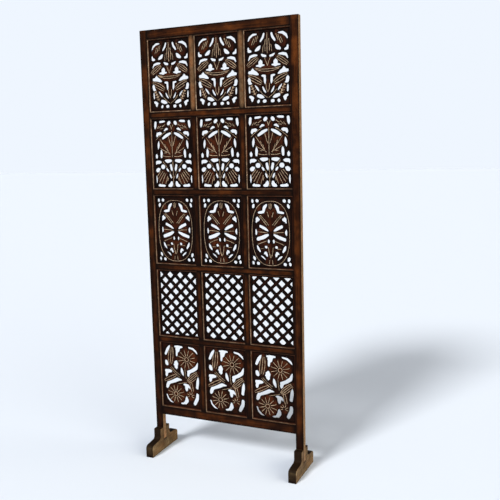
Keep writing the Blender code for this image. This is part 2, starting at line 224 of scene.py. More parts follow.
def makeWoodGrain():
    group, given, out = newGroup("woodGrain", [
        ("Vector", "NodeSocketVector", None),
        ("Streak Scale", "NodeSocketFloat", 260.0),
        ("Stretch", "NodeSocketFloat", 0.05),
    ], [("Grain", "NodeSocketFloat"), ("Pores", "NodeSocketFloat"), ("Figure", "NodeSocketFloat"),
        ("Cloud", "NodeSocketFloat")])
    split = addNode(group, "ShaderNodeSeparateXYZ", None, {0: given.outputs["Vector"]})
    along = mathNode(group, "MULTIPLY", split.outputs[0], given.outputs["Stretch"])
    drift = noiseNode(group, given.outputs["Vector"], 9.0, 2.0)
    bent = mathNode(group, "ADD", split.outputs[1], mathNode(group, "MULTIPLY", drift, 0.006))
    laid = addNode(group, "ShaderNodeCombineXYZ", None, {0: along, 1: bent, 2: split.outputs[2]}).outputs[0]
    scale = given.outputs["Streak Scale"]
    streaks = noiseNode(group, laid, scale, 4.0, 0.65)
    pores = noiseNode(group, laid, mathNode(group, "MULTIPLY", scale, 5.0), 2.0, 0.5)
    figure = noiseNode(group, laid, mathNode(group, "MULTIPLY", scale, 0.22), 3.0, 0.5)
    cloud = noiseNode(group, given.outputs["Vector"], 13.0, 4.0, 0.6)
    group.links.new(rangeNode(group, streaks, 0.30, 0.70), out.inputs["Grain"])
    group.links.new(rangeNode(group, pores, 0.56, 0.70), out.inputs["Pores"])
    group.links.new(rangeNode(group, figure, 0.32, 0.68, 0.25, 1.0), out.inputs["Figure"])
    group.links.new(rangeNode(group, cloud, 0.40, 0.68), out.inputs["Cloud"])
    return group


def makeWearAndHighlightMask():
    group, given, out = newGroup("wearAndHighlightMask", [
        ("Amount", "NodeSocketFloat", 0.0),
        ("Vector", "NodeSocketVector", None),
        ("Patch Scale", "NodeSocketFloat", 75.0),
        ("Patchiness", "NodeSocketFloat", 0.5),
    ], [("Mask", "NodeSocketFloat")])
    patches = noiseNode(group, given.outputs["Vector"], given.outputs["Patch Scale"], 4.0, 0.6)
    held = rangeNode(group, patches, 0.30, 0.66)
    lift = mathNode(group, "SUBTRACT", 1.0, given.outputs["Patchiness"])
    broken = mathNode(group, "ADD", lift, mathNode(group, "MULTIPLY", held, given.outputs["Patchiness"]))
    group.links.new(mathNode(group, "MULTIPLY", given.outputs["Amount"], broken, True), out.inputs["Mask"])
    return group


def makeDustMask():
    group, given, out = newGroup("dustMask", [
        ("Vector", "NodeSocketVector", None),
        ("Upward", "NodeSocketFloat", 0.6),
        ("Specks", "NodeSocketFloat", 0.25),
    ], [("Mask", "NodeSocketFloat")])
    normal = addNode(group, "ShaderNodeNewGeometry")
    lean = addNode(group, "ShaderNodeSeparateXYZ", None, {0: normal.outputs["Normal"]}).outputs[2]
    settled = mathNode(group, "MULTIPLY", rangeNode(group, lean, 0.45, 0.95), given.outputs["Upward"])
    fleck = rangeNode(group, noiseNode(group, given.outputs["Vector"], 420.0, 3.0, 0.7), 0.62, 0.74)
    flecks = mathNode(group, "MULTIPLY", fleck, given.outputs["Specks"])
    group.links.new(mathNode(group, "MAXIMUM", settled, flecks, True), out.inputs["Mask"])
    return group


woodGrain = makeWoodGrain()
wearAndHighlightMask = makeWearAndHighlightMask()
dustMask = makeDustMask()


# Wood finishes

finishes = {
    "frameWood": {
        "deep": (0.010, 0.0022, 0.0008), "warm": (0.132, 0.036, 0.0068), "wearAndHighlight": (0.52, 0.34, 0.18),
        "grimeAndShade": (0.0045, 0.0020, 0.0014), "dust": (0.22, 0.17, 0.13),
        "streakScale": 230.0, "patchiness": 0.55, "dustUp": 0.05, "roughness": (0.42, 0.66), "bump": 0.35,
    },
    "panelWood": {
        "deep": (0.008, 0.0020, 0.0010), "warm": (0.064, 0.0150, 0.0046), "wearAndHighlight": (0.92, 0.68, 0.46),
        "grimeAndShade": (0.0022, 0.0015, 0.0014), "dust": (0.20, 0.16, 0.13),
        "streakScale": 300.0, "patchiness": 0.62, "dustUp": 0.0, "roughness": (0.45, 0.70), "bump": 0.30,
    },
    "footWood": {
        "deep": (0.012, 0.0045, 0.0018), "warm": (0.105, 0.046, 0.0140), "wearAndHighlight": (0.46, 0.33, 0.17),
        "grimeAndShade": (0.005, 0.0022, 0.0014), "dust": (0.24, 0.19, 0.14),
        "streakScale": 200.0, "patchiness": 0.5, "dustUp": 0.0, "roughness": (0.40, 0.66), "bump": 0.35,
    },
}


woodShading = {
    "specks": 0.03, "toneGain": 0.62, "poreShade": 0.5,
    "wornRoughness": 0.12, "shine": 0.03, "bumpDistance": 0.0004,
}


def makeWood(name, finish):
    shading = woodShading
    material = bpy.data.materials.new(name)
    material.use_nodes = True
    tree = material.node_tree
    shader = tree.nodes["Principled BSDF"]
    grainPlace = addNode(tree, "ShaderNodeAttribute", {"attribute_name": "grainPlace"}).outputs["Vector"]
    wearAndHighlightHere = addNode(tree, "ShaderNodeAttribute", {"attribute_name": "wearAndHighlight"}).outputs["Fac"]
    grimeAndShadeHere = addNode(tree, "ShaderNodeAttribute", {"attribute_name": "grimeAndShade"}).outputs["Fac"]
    grain = addNode(tree, "ShaderNodeGroup", {"node_tree": woodGrain},
                    {"Vector": grainPlace, "Streak Scale": finish["streakScale"]})
    wearAndHighlightMix = addNode(tree, "ShaderNodeGroup", {"node_tree": wearAndHighlightMask},
                   {"Amount": wearAndHighlightHere, "Vector": grainPlace, "Patchiness": finish["patchiness"]})
    dust = addNode(tree, "ShaderNodeGroup", {"node_tree": dustMask},
                   {"Vector": grainPlace, "Upward": finish["dustUp"], "Specks": shading["specks"]})
    tone = mathNode(tree, "MULTIPLY", grain.outputs["Grain"], grain.outputs["Figure"])
    tone = mathNode(tree, "ADD", tone, grain.outputs["Cloud"])
    tone = mathNode(tree, "MULTIPLY", tone, shading["toneGain"], True)
    colour = mixColour(tree, tone, (*finish["deep"], 1), (*finish["warm"], 1))
    # pale colour for wear and for painted highlights
    colour = mixColour(tree, wearAndHighlightMix.outputs["Mask"], colour, (*finish["wearAndHighlight"], 1))
    darkPores = mathNode(tree, "MULTIPLY", grain.outputs["Pores"], shading["poreShade"])
    colour = mixColour(tree, darkPores, colour, (*finish["grimeAndShade"], 1))
    colour = mixColour(tree, dust.outputs["Mask"], colour, (*finish["dust"], 1))
    # near-black colour for grime and for painted shade
    colour = mixColour(tree, grimeAndShadeHere, colour, (*finish["grimeAndShade"], 1))
    tree.links.new(colour, shader.inputs["Base Color"])
    low, high = finish["roughness"]
    rough = rangeNode(tree, grain.outputs["Grain"], 0.0, 1.0, high, low, False)
    duller = mathNode(tree, "MULTIPLY", wearAndHighlightMix.outputs["Mask"], shading["wornRoughness"])
    rough = mathNode(tree, "ADD", rough, duller, True)
    tree.links.new(rough, shader.inputs["Roughness"])
    shader.inputs["Specular IOR Level"].default_value = shading["shine"]
    height = mathNode(tree, "SUBTRACT", grain.outputs["Grain"], grain.outputs["Pores"])
    bump = addNode(tree, "ShaderNodeBump", None,
                   {"Strength": finish["bump"], "Distance": shading["bumpDistance"], "Height": height})
    tree.links.new(bump.outputs["Normal"], shader.inputs["Normal"])
    return material


woods = {name: makeWood(name, finish) for name, finish in finishes.items()}
print("wood finishes made")


# Carving motifs. Lengths are millimetres from the panel's middle. Each motif gives a
# distance that is negative in the wood, and how far it stands above the stems.

lifts = {"leaf": 0.9, "flower": 1.1, "disc": 0.9, "stem": 0.0, "border": -0.2}
leafSlant = 0.85        # a leaf's edges slant, so they are nearer than they are straight across


def blendWood(first, second, softness):
    near = np.maximum(softness - np.abs(first - second), 0.0) / softness
    return np.minimum(first, second) - near * near * softness / 4.0


def joinWood(distances, softness):
    joined = distances[0]
    for distance in distances[1:]:
        joined = blendWood(joined, distance, softness)
    return joined


def nearRun(x, y, start, end):
    # distance from a straight run, and the share of its length at the nearest point
    dx, dy = end[0] - start[0], end[1] - start[1]
    t = np.clip(((x - start[0]) * dx + (y - start[1]) * dy) / (dx * dx + dy * dy), 0.0, 1.0)
    return np.hypot(x - start[0] - t * dx, y - start[1] - t * dy), t


def bentLine(x, y, points, widthAt):
    # distance from the edge of a bent line, whose width goes by the share of its length
    runs = len(points) - 1
    best = np.inf
    for i in range(runs):
        away, t = nearRun(x, y, points[i], points[i + 1])
        best = np.minimum(best, away - widthAt((i + t) / runs) / 2.0)
    return best


def leafAxis(base, tip):
    dx, dy = tip[0] - base[0], tip[1] - base[1]
    length = math.hypot(dx, dy)
    return dx / length, dy / length, length


def leafSwell(along, full):
    # share of a leaf's greatest width, which it has at the share of its length called full
    risen = along ** (math.log(0.5) / math.log(full))
    return (4.0 * risen * (1.0 - risen)) ** 0.8


def leaf(x, y, base, tip, width, bend=0.0, full=0.5):
    ux, uy, length = leafAxis(base, tip)
    along = ((x - base[0]) * ux + (y - base[1]) * uy) / length
    across = (y - base[1]) * ux - (x - base[0]) * uy
    held = np.clip(along, 0.0, 1.0)
    offset = across - bend * 4.0 * held * (1.0 - held)
    side = leafSlant * (np.abs(offset) - 0.5 * width * leafSwell(held, full))
    past = np.maximum(np.abs(along - 0.5) - 0.5, 0.0) * length
    return np.where(past > 0.0, np.hypot(past, np.abs(offset)), side), lifts["leaf"]


def stem(x, y, points, startWidth, endWidth=None):
    growth = 0.0 if endWidth is None else endWidth - startWidth
    return bentLine(x, y, points, lambda along: startWidth + growth * along), lifts["stem"]


def disc(x, y, centre, rx, ry=None):
    ry = rx if ry is None else ry
    return (np.hypot((x - centre[0]) / rx, (y - centre[1]) / ry) - 1.0) * min(rx, ry), lifts["disc"]


def flower(x, y, centre, radius, petals, scallop):
    angle = np.arctan2(y - centre[1], x - centre[0])
    petal = np.abs(np.cos(angle * petals / 2.0)) - 0.64     # less its mean
    edge = radius + scallop * petal
    return np.hypot(x - centre[0], y - centre[1]) - edge, lifts["flower"]


def border(x, y, halfWide, halfTall, corner):
    qx = np.abs(x) - (halfWide - corner)
    qy = np.abs(y) - (halfTall - corner)
    beyond = np.hypot(np.maximum(qx, 0.0), np.maximum(qy, 0.0))
    return corner - beyond - np.minimum(np.maximum(qx, qy), 0.0), lifts["border"]


def outsideOval(x, y, rx, ry, power, middle):
    u = np.abs(x) / rx
    v = np.abs(y - middle) / ry
    return -((u ** power + v ** power) ** (1.0 / power) - 1.0) * min(rx, ry), lifts["border"]


def lily(x, y):
    a = np.abs(x)
    return [
        border(x, y, 85, 134, 34),
        # centre bud and the two buds beside it
        leaf(x, y, (0, 48), (0, 150), 24, full=0.45),
        stem(a, y, [(0, 134), (22, 60)], 19, 27),
        stem(x, y, [(0, 58), (0, 30)], 11),
        # corner buds
        leaf(a, y, (72, 75), (35, 141), 40, full=0.45),
        stem(a, y, [(24, 93), (46, 90)], 9),
        stem(a, y, [(61, 82), (61, 58)], 9),
        stem(a, y, [(66, 93), (92, 96)], 16),
        # cross stem with its side leaves
        stem(a, y, [(0, 52), (14, 57), (28, 61), (52, 60), (90, 58)], 7),
        stem(a, y, [(35, 58), (38, 44)], 12),
        leaf(a, y, (30, 46), (94, 2), 30, bend=1),
        stem(a, y, [(0, 16), (34, 47)], 11, 13),
        leaf(a, y, (0, 2), (11, 40), 16),
        # boat-shaped leaf in the middle
        leaf(x, y, (-62, 3), (62, 3), 36, bend=-12),
        stem(a, y, [(54, 2), (64, 10)], 9),
        stem(a, y, [(68, 14), (92, -4)], 17),
        stem(a, y, [(26, -14), (42, -34)], 7),
        # large lower leaves
        leaf(a, y, (14, -66), (94, -24), 36, bend=3),
        leaf(a, y, (22, -80), (88, -22), 20),
        stem(x, y, [(0, -20), (0, -62)], 16, 24),
        leaf(x, y, (0, -44), (0, -98), 38, full=0.4),
        stem(x, y, [(0, -90), (0, -138)], 16),
        stem(a, y, [(0, -112), (20, -98), (33, -82), (41, -66)], 12, 11),
        leaf(a, y, (50, -108), (74, -56), 27),
        stem(a, y, [(56, -56), (64, -68)], 9),
        stem(a, y, [(28, -92), (58, -92)], 8),
        stem(a, y, [(70, -97), (90, -97)], 8),
        stem(a, y, [(70, -61), (90, -61)], 5),
        stem(a, y, [(58, -98), (55, -118)], 6),
        # foot of the plant
        stem(a, y, [(0, -114), (30, -117), (58, -116)], 8, 6),
        stem(a, y, [(30, -117), (31, -138)], 9),
        stem(a, y, [(58, -118), (60, -138)], 15),
    ]


def maple(x, y):
    a = np.abs(x)
    return [
        border(x, y, 87, 139, 4),
        # spine and top bud
        stem(x, y, [(0, 142), (0, -10)], 9, 11),
        leaf(x, y, (0, 84), (0, 130), 32),
        stem(a, y, [(0, 104), (14, 112), (34, 118)], 9),
        # corner fans
        leaf(a, y, (80, 98), (20, 130), 34),
        stem(a, y, [(68, 118), (68, 142)], 8),
        stem(a, y, [(28, 124), (28, 142)], 5),
        stem(a, y, [(44, 92), (60, 96), (90, 95)], 7),
        # arched stems
        stem(a, y, [(0, 98), (28, 92), (44, 82), (62, 70), (78, 58)], 11),
        stem(a, y, [(88, 92), (83, 60), (83, 8)], 15),
        # five-pointed leaf
        leaf(a, y, (-4, -16), (64, 66), 46),
        leaf(a, y, (0, -10), (17, 84), 30),
        leaf(a, y, (0, -12), (54, -8), 30, bend=2, full=0.45),
        leaf(a, y, (0, -4), (64, 27), 26, full=0.6),
        stem(a, y, [(50, 24), (78, 13)], 8),
        stem(a, y, [(76, 12), (68, -2), (67, -22)], 9),
        stem(a, y, [(72, 12), (90, 12)], 10),
        stem(a, y, [(0, -18), (30, -20), (56, -21), (90, -23)], 7),
        # lower stems
        stem(a, y, [(0, -20), (0, -142)], 12, 9),
        stem(a, y, [(52, -26), (34, -46), (16, -72), (0, -104)], 13, 8),
        stem(a, y, [(0, -37), (14, -40), (28, -44)], 8),
        stem(a, y, [(46, -38), (66, -43), (90, -56)], 8),
        # shells
        disc(a, y, (51, -97), 30, 32),
        stem(a, y, [(58, -66), (66, -46)], 5),
        stem(a, y, [(32, -48), (44, -68)], 6),
        stem(a, y, [(78, -84), (90, -84)], 8),
        stem(a, y, [(70, -114), (90, -140)], 8),
        stem(a, y, [(36, -122), (37, -142)], 8),
        stem(a, y, [(0, -108), (26, -108)], 9),
        stem(a, y, [(8, -84), (26, -78)], 5),
    ]


def medallion(x, y):
    a = np.abs(x)
    return [
        outsideOval(x, y, 70, 118, 2.4, -1),
        disc(a, y, (50, 97), 13),
        # top bud
        stem(a, y, [(0, 122), (10, 92)], 19, 24),
        leaf(a, y, (-4, 24), (20, 100), 34, full=0.6),
        # slanting leaves
        leaf(a, y, (-8, 6), (62, 80), 34, full=0.4),
        leaf(a, y, (2, 40), (54, 77), 28, bend=3),
        stem(a, y, [(24, 38), (46, 40), (60, 31), (74, 22)], 15, 13),
        leaf(a, y, (2, -2), (66, 2), 30, full=0.65),
        stem(a, y, [(50, 10), (72, 23)], 8),
        stem(a, y, [(52, -10), (72, -22)], 8),
        stem(x, y, [(0, 20), (0, -70)], 14),
        # lower leaves
        stem(a, y, [(0, -20), (24, -27)], 11),
        leaf(a, y, (4, -28), (64, -52), 28),
        disc(a, y, (14, -51), 10, 7),
        stem(a, y, [(48, -46), (74, -40)], 12),
        leaf(a, y, (4, -60), (51, -66), 28),
        leaf(a, y, (0, -116), (12, -50), 24),
        leaf(x, y, (0, -118), (0, -42), 30),
        stem(a, y, [(32, -74), (46, -87), (68, -88)], 9),
        stem(a, y, [(20, -106), (46, -88)], 6),
        disc(x, y, (0, -120), 25),
    ]


def flowers(x, y):
    return [
        border(x, y, 84, 134, 30),
        flower(x, y, (31, 76), 50, 12, 2.5),
        flower(x, y, (-28, -86), 46, 12, 2.5),
        # bud at the upper left
        leaf(x, y, (-54, 38), (-42, 142), 42, full=0.45),
        stem(x, y, [(-90, 75), (-60, 75)], 18),
        stem(x, y, [(-40, 75), (-10, 75)], 15),
        # main stem and its leaves
        stem(x, y, [(-90, 28), (-56, 32)], 13),
        stem(x, y, [(-56, 36), (-34, 16), (-4, -6), (22, -22)], 18, 14),
        stem(x, y, [(-10, 44), (-16, 20), (-14, 2)], 14),
        leaf(x, y, (-14, 6), (-94, -36), 30),
        stem(x, y, [(17, 34), (18, 8), (24, -20)], 14),
        leaf(x, y, (26, -32), (92, 25), 41),
        leaf(x, y, (44, -12), (58, -80), 28),
        stem(x, y, [(-20, -40), (2, -34), (34, -26)], 15, 9),
        # lower right bud
        stem(x, y, [(10, -84), (50, -80)], 20),
        disc(x, y, (46, -88), 23),
        stem(x, y, [(44, -90), (38, -140)], 22),
        stem(x, y, [(50, -68), (90, -66)], 15),
        # ties to the border
        stem(x, y, [(-88, 112), (-66, 136)], 16),
        stem(x, y, [(88, -112), (72, -138)], 14),
        stem(x, y, [(-27, -125), (-27, -142)], 28),
        stem(x, y, [(23, 120), (23, 142)], 24),
        stem(x, y, [(76, 86), (92, 86)], 24),
        stem(x, y, [(-90, -82), (-70, -82)], 26),
    ]


latticePitch = (49.3, 48.6)
latticeBarShare = 0.361
latticeLap = 0.35       # how far one way of bars stands above the other
latticeHole = {"left": (-13.0, 4.0), "centre": (-7.0, 17.0), "right": (-7.0, 17.0)}


def lattice(x, y, hole):
    parts = [border(x, y, 88, 139, 3)]
    xx = (x - hole[0]) / latticePitch[0]
    yy = (y - hole[1]) / latticePitch[1]
    across = 1.0 / math.hypot(1.0 / latticePitch[0], 1.0 / latticePitch[1])
    for number, way in enumerate((xx + yy, xx - yy)):
        bar = np.abs(way - 0.5 - np.round(way - 0.5)) * across
        parts.append((bar - across * latticeBarShare / 2.0, latticeLap * number))
    return parts


patternMakers = {"lily": lily, "maple": maple, "medallion": medallion, "flowers": flowers}


def patternParts(name, x, y, column):
    if name == "lattice":
        return lattice(x, y, latticeHole[column])
    return patternMakers[name](x, y)


# Openings cut in the carved faces. Each is a line of points in millimetres from the panel's middle, the
# greatest width along it, and the shares of that width left at its two ends. The mirrored patterns give
# the right half alone.

openingSoftness = 2.0
latticeSoftness = 1.5
mirroredPatterns = ("lily", "maple", "medallion")

openings = {
    "lily": (
        # round the buds
        (((45, 129), (62, 128), (76, 118), (82, 106)), 11, 0.45, 0.5),
        (((16, 128), (20, 116), (30, 102)), 11, 0.9, 0.75),
        (((32, 84), (40, 75), (51, 69)), 16, 0.4, 0.6),
        (((71, 66), (81, 68)), 11, 0.7, 1.0),
        (((81, 68), (83, 82)), 10, 1.0, 0.35),
        # round the upper leaves
        (((45, 50), (60, 50), (75, 46), (82, 33)), 11, 0.5, 0.5),
        (((10, 45), (20, 47), (29, 53)), 10, 0.95, 0.35),
        (((16, 11), (50, 10)), 9, 0.6, 0.6),
        (((31, 31), (32, 13)), 20, 0.3, 1.0),
        (((42, -23), (60, -14), (80, -14)), 16, 0.4, 0.75),
        (((65, -1), (66, -12)), 16, 0.45, 1.0),
        # round the lower leaves
        (((14, -30), (27, -28)), 9, 1.0, 0.7),
        (((15, -32), (13, -60)), 12, 1.0, 0.4),
        (((82, -34), (79, -53)), 16, 0.3, 0.95),
        (((70, -57), (80, -55)), 8, 0.6, 0.8),
        (((24, -72), (18, -84), (11, -93)), 9, 0.7, 0.5),
        (((57, -64), (47, -76), (40, -86)), 9, 0.4, 0.5),
        (((81, -68), (80, -90)), 9.5, 0.6, 0.9),
        # foot of the plant
        (((18, -112), (34, -107), (44, -104)), 15, 0.25, 0.85),
        (((64, -113), (79, -107)), 12, 0.7, 0.8),
        (((70, -113), (69, -125)), 14, 0.9, 0.45),
        (((14, -126), (20, -126)), 13, 0.95, 0.95),
        (((42, -125), (44, -127)), 13, 0.95, 0.95),
    ),
    "maple": (
        # along the top
        (((80, 130), (83, 106)), 14, 1.0, 0.45),
        (((34, 135), (59, 133)), 9, 0.5, 1.0),
        (((13, 129), (19, 125)), 17, 0.85, 0.8),
        (((21, 103), (30, 103), (40, 96)), 10, 0.5, 0.5),
        (((52, 86), (70, 84)), 14, 0.4, 0.9),
        (((73, 84), (75, 71)), 13, 0.9, 0.35),
        # round the large leaf
        (((10, 85), (30, 76), (47, 65)), 14, 0.6, 0.75),
        (((67, 54), (69, 38), (71, 20)), 13, 0.4, 0.4),
        (((56, 15), (56, 2), (57, -12)), 14, 0.6, 0.85),
        (((80, -3), (80, -13)), 14, 0.6, 0.95),
        # between the lower stems
        (((11, -29), (28, -31), (41, -28)), 15, 0.7, 0.35),
        (((58, -34), (80, -35)), 14, 0.35, 1.0),
        (((82, -36), (84, -45)), 8, 0.9, 0.6),
        (((49, -54), (53, -54)), 20, 0.95, 0.95),
        (((68, -64), (79, -69)), 19, 0.5, 0.9),
        (((13, -49), (8, -73)), 14, 0.95, 0.25),
        (((33, -63), (24, -74)), 11, 0.75, 0.35),
        (((19, -86), (13, -100)), 10, 0.6, 0.8),
        # round the shells
        (((84, -92), (83, -106), (84, -123)), 9, 0.6, 0.5),
        (((12, -121), (14, -130)), 17, 0.8, 1.0),
        (((14, -130), (26, -134)), 14, 1.0, 0.7),
        (((45, -134), (74, -133)), 10, 0.8, 0.9),
        (((66, -133), (71, -128)), 10, 0.9, 0.6),
    ),
    "medallion": (
        # between the upper leaves
        (((18, 111), (28, 100), (32, 84)), 15, 0.5, 0.85),
        (((34, 82), (55, 79)), 11, 0.9, 0.55),
        (((52, 52), (60, 52)), 17, 0.6, 0.9),
        (((59, 61), (60, 50)), 13, 0.5, 1.0),
        (((62, 46), (66, 39)), 9, 0.9, 0.4),
        (((12, 6), (28, 16), (46, 24)), 13, 0.35, 0.95),
        (((66, 10), (64, 0), (66, -10)), 11, 0.55, 0.55),
        # between the lower leaves
        (((13, -10), (34, -20), (58, -28)), 15, 0.55, 0.95),
        (((62, -54), (57, -67), (50, -78)), 12, 0.4, 0.7),
        (((24, -82), (31, -87)), 10, 0.7, 0.7),
        (((24, -84), (18, -98)), 12, 1.0, 0.4),
        (((46, -96), (36, -103), (27, -111)), 8, 0.5, 0.5),
        (((11, -33), (11, -39)), 11, 0.9, 0.9),
        (((21, -60), (24, -60)), 12, 0.95, 0.95),
        # drilled corner holes
        (((57, 127), (60, 127)), 14, 0.95, 0.95),
        (((79, 128), (79, 124)), 13, 0.95, 0.95),
        (((74, 110), (77, 102)), 14, 0.8, 0.8),
        (((57, -128), (60, -128)), 14, 0.95, 0.95),
        (((80, -125), (80, -128)), 13, 0.95, 0.95),
        (((73, -111), (77, -103)), 14, 0.8, 0.8),
    ),
    "flowers": (
        # round the upper flower and the bud beside it
        (((-56, 128), (-68, 110), (-78, 90)), 15, 0.5, 0.8),
        (((-29, 127), (6, 128)), 12, 0.85, 0.75),
        (((-14, 122), (-20, 106)), 24, 1.0, 0.6),
        (((-20, 108), (-22, 88)), 13, 1.0, 0.8),
        (((40, 128), (60, 124), (74, 113), (81, 102)), 12, 0.75, 0.4),
        (((-75, 55), (-73, 46)), 20, 0.85, 0.95),
        (((-24, 60), (-27, 46)), 24, 0.5, 0.95),
        (((-38, 43), (-24, 44)), 12, 0.5, 1.0),
        (((-27, 42), (-26, 27)), 20, 1.0, 0.4),
        # round the stem and its leaves
        (((-77, 12), (-52, 14)), 18, 1.0, 0.6),
        (((-74, 6), (-79, -12)), 16, 1.0, 0.45),
        (((0, 31), (2, 16), (9, -3)), 16, 0.6, 0.3),
        (((31, -3), (36, 14)), 16, 0.35, 1.0),
        (((34, 17), (56, 27), (74, 40), (82, 64)), 16, 1.0, 0.25),
        (((82, -1), (78, -28), (75, -50)), 16, 0.25, 0.95),
        (((0, -22), (-20, -21), (-40, -31), (-62, -40)), 17, 0.25, 0.8),
        (((-68, -42), (-76, -62)), 18, 0.9, 0.75),
        # round the lower flower and the bud beside it
        (((9, -42), (30, -46)), 16, 0.5, 1.0),
        (((36, -48), (39, -57)), 12, 0.9, 0.7),
        (((22, -48), (22, -66)), 18, 1.0, 0.75),
        (((-78, -99), (-72, -114), (-60, -126), (-46, -132)), 12, 0.8, 0.3),
        (((22, -99), (22, -114), (14, -126)), 19, 0.55, 0.8),
        (((10, -128), (-8, -132)), 10, 1.0, 0.4),
        (((76, -82), (74, -100), (61, -125)), 17, 0.9, 0.9),
    ),
}


def slit(x, y, points, width, start, end):
    def widthAt(along):
        ends = start + (end - start) * along
        return width * (ends + (1.0 - ends) * 4.0 * along * (1.0 - along))

    return bentLine(x, y, points, widthAt)


def woodDepth(name, x, y, column):
    # negative in the wood, and positive in an opening
    if name == "lattice":
        bars = [distance for distance, lift in patternParts(name, x, y, column)]
        return joinWood(bars, latticeSoftness)
    if name in mirroredPatterns:
        x = np.abs(x)
    return -joinWood([slit(x, y, *opening) for opening in openings[name]], openingSoftness)


def woodAt(name, column, points):
    return woodDepth(name, points[:, 0], points[:, 1], column)


# Veins and ribs cut in the motifs, as runs of points from the panel's middle

leafSteps = 8
featherForm = {"start": 0.18, "spread": 0.56, "reaches": (0.08, 0.74), "lean": 0.13}


def mirrored(lines):
    return lines + [[(-u, v) for u, v in line] for line in lines]


def fanLines(centre, inner, outer, angles):
    lines = []
    for angle in angles:
        t = math.radians(angle)
        lines.append([(centre[0] + r * math.cos(t), centre[1] + r * math.sin(t)) for r in (inner, outer)])
    return lines


def ringLine(centre, rx, ry, power=2.0, count=72):
    line = []
    for i in range(count + 1):
        t = 2.0 * math.pi * i / count
        c, s = math.cos(t), math.sin(t)
        u = math.copysign(abs(c) ** (2.0 / power), c) * rx
        v = math.copysign(abs(s) ** (2.0 / power), s) * ry
        line.append((centre[0] + u, centre[1] + v))
    return line


def leafPlace(base, tip, along, off):
    # a point on a leaf, from the share of its length and the distance from its straight axis
    ux, uy = leafAxis(base, tip)[:2]
    return (base[0] + (tip[0] - base[0]) * along - uy * off,
            base[1] + (tip[1] - base[1]) * along + ux * off)


def leafLines(base, tip, width, shares, bend=0.0, full=0.5, low=0.10, high=0.90):
    lines = []
    for share in shares:
        line = []
        for i in range(leafSteps + 1):
            t = low + (high - low) * i / leafSteps
            off = bend * 4.0 * t * (1.0 - t) + share * 0.5 * width * leafSwell(t, full)
            line.append(leafPlace(base, tip, t, off))
        lines.append(line)
    return lines


def featherLines(base, tip, width, count):
    form = featherForm
    lines = leafLines(base, tip, width, (0.0,))
    for i in range(count):
        t = form["start"] + form["spread"] * i / (count - 1)
        for side in (-1, 1):
            line = []
            for reach in form["reaches"]:
                along = t + form["lean"] * reach
                off = side * reach * 0.5 * width * leafSwell(along, 0.5)
                line.append(leafPlace(base, tip, along, off))
            lines.append(line)
    return lines


veinLines = {
    "lily": (
        [[(0, 54), (0, 132)], [(-54, 1), (-30, -4), (0, -5), (30, -4), (54, 1)]]
        + mirrored([
            [(9, 62), (10, 84), (7, 108)],
            [(19, 60), (18, 76), (15, 88)],
            [(38, 122), (46, 100)], [(46, 118), (56, 92)], [(56, 112), (64, 92)],
            [(12, 38), (6, 24), (0, 8)],
            [(-4, -14), (24, -12), (48, -4)],
            [(2, -114), (24, -98), (46, -70)],
            [(8, -56), (6, -80), (0, -92)],
        ])
        + mirrored(leafLines((30, 46), (94, 2), 30, (-0.56, 0.0, 0.56), 1, low=0.14, high=0.84))
        + mirrored(leafLines((14, -66), (94, -24), 36, (-0.54, 0.0, 0.54), 3, low=0.16, high=0.86))
        + mirrored(featherLines((50, -108), (74, -56), 27, 4))
    ),
    "maple": (
        [[(0, 94), (0, -14)], [(0, -26), (0, -134)]]
        + mirrored([
            [(12, -2), (34, 28), (57, 61)],
            [(5, 33), (12, 54), (17, 72)],
            [(8, -11), (28, -12), (48, -8)],
            [(20, 4), (40, 14), (56, 23)],
            [(20, 12), (27, 30)], [(30, 22), (36, 42)], [(28, 4), (38, 4)],
            [(0, 104), (4, 113), (8, 121)],
            [(46, 112), (30, 122)], [(54, 104), (40, 106)], [(62, 106), (50, 117)], [(70, 104), (62, 114)],
            [(26, -92), (38, -126)], [(36, -84), (56, -126)],
            [(43, -80), (68, -118)], [(50, -74), (75, -107)],
            [(58, -70), (79, -95)], [(24, -100), (28, -114)],
            [(28, 93), (44, 84), (62, 72), (76, 60)],
            [(4, -100), (16, -76), (32, -52), (48, -32)],
        ])
    ),
    "medallion": (
        [ringLine((0, -4), 81, 130, 2.5)]
        + mirrored([
            [(8, 30), (26, 52), (45, 70)], [(16, 28), (34, 50), (50, 68)],
            [(7, 62), (13, 82)], [(4, 96), (6, 114)], [(0, 92), (0, 118)],
            [(12, -2), (34, 1), (56, 2)],
            [(14, -33), (34, -40), (56, -49)],
            [(12, -62), (28, -66), (44, -66)],
            [(10, -60), (8, -80), (2, -102)],
            [(6, -112), (8, -128)],
        ])
    ),
    "flowers": (
        [ringLine((31, 76), 9, 9), ringLine((-28, -86), 9, 9)]
        + fanLines((31, 76), 15, 42, [15 + 30 * i for i in range(12)])
        + fanLines((-28, -86), 14, 38, [15 + 30 * i for i in range(12)])
        + fanLines((46, -88), 6, 18, [20, 65, 110, 155, 200, 335])
        + leafLines((-54, 38), (-42, 142), 42, (-0.55, 0.0, 0.55), full=0.45, low=0.12, high=0.84)
        + leafLines((26, -32), (92, 25), 41, (-0.6, -0.2, 0.2, 0.6), low=0.12, high=0.84)
        + leafLines((-14, 6), (-94, -36), 30, (-0.4, 0.4), low=0.12, high=0.88)
        + leafLines((44, -12), (58, -80), 28, (-0.4, 0.4), low=0.16, high=0.8)
        + [
            [(-54, 32), (-36, 12), (-8, -8)], [(-48, 36), (-30, 18), (-4, 0)],
            [(-18, -40), (2, -35), (26, -28)], [(20, 30), (21, 8), (25, -12)],
        ]
    ),
    "lattice": [],
}


# Outlines of the openings, anticlockwise

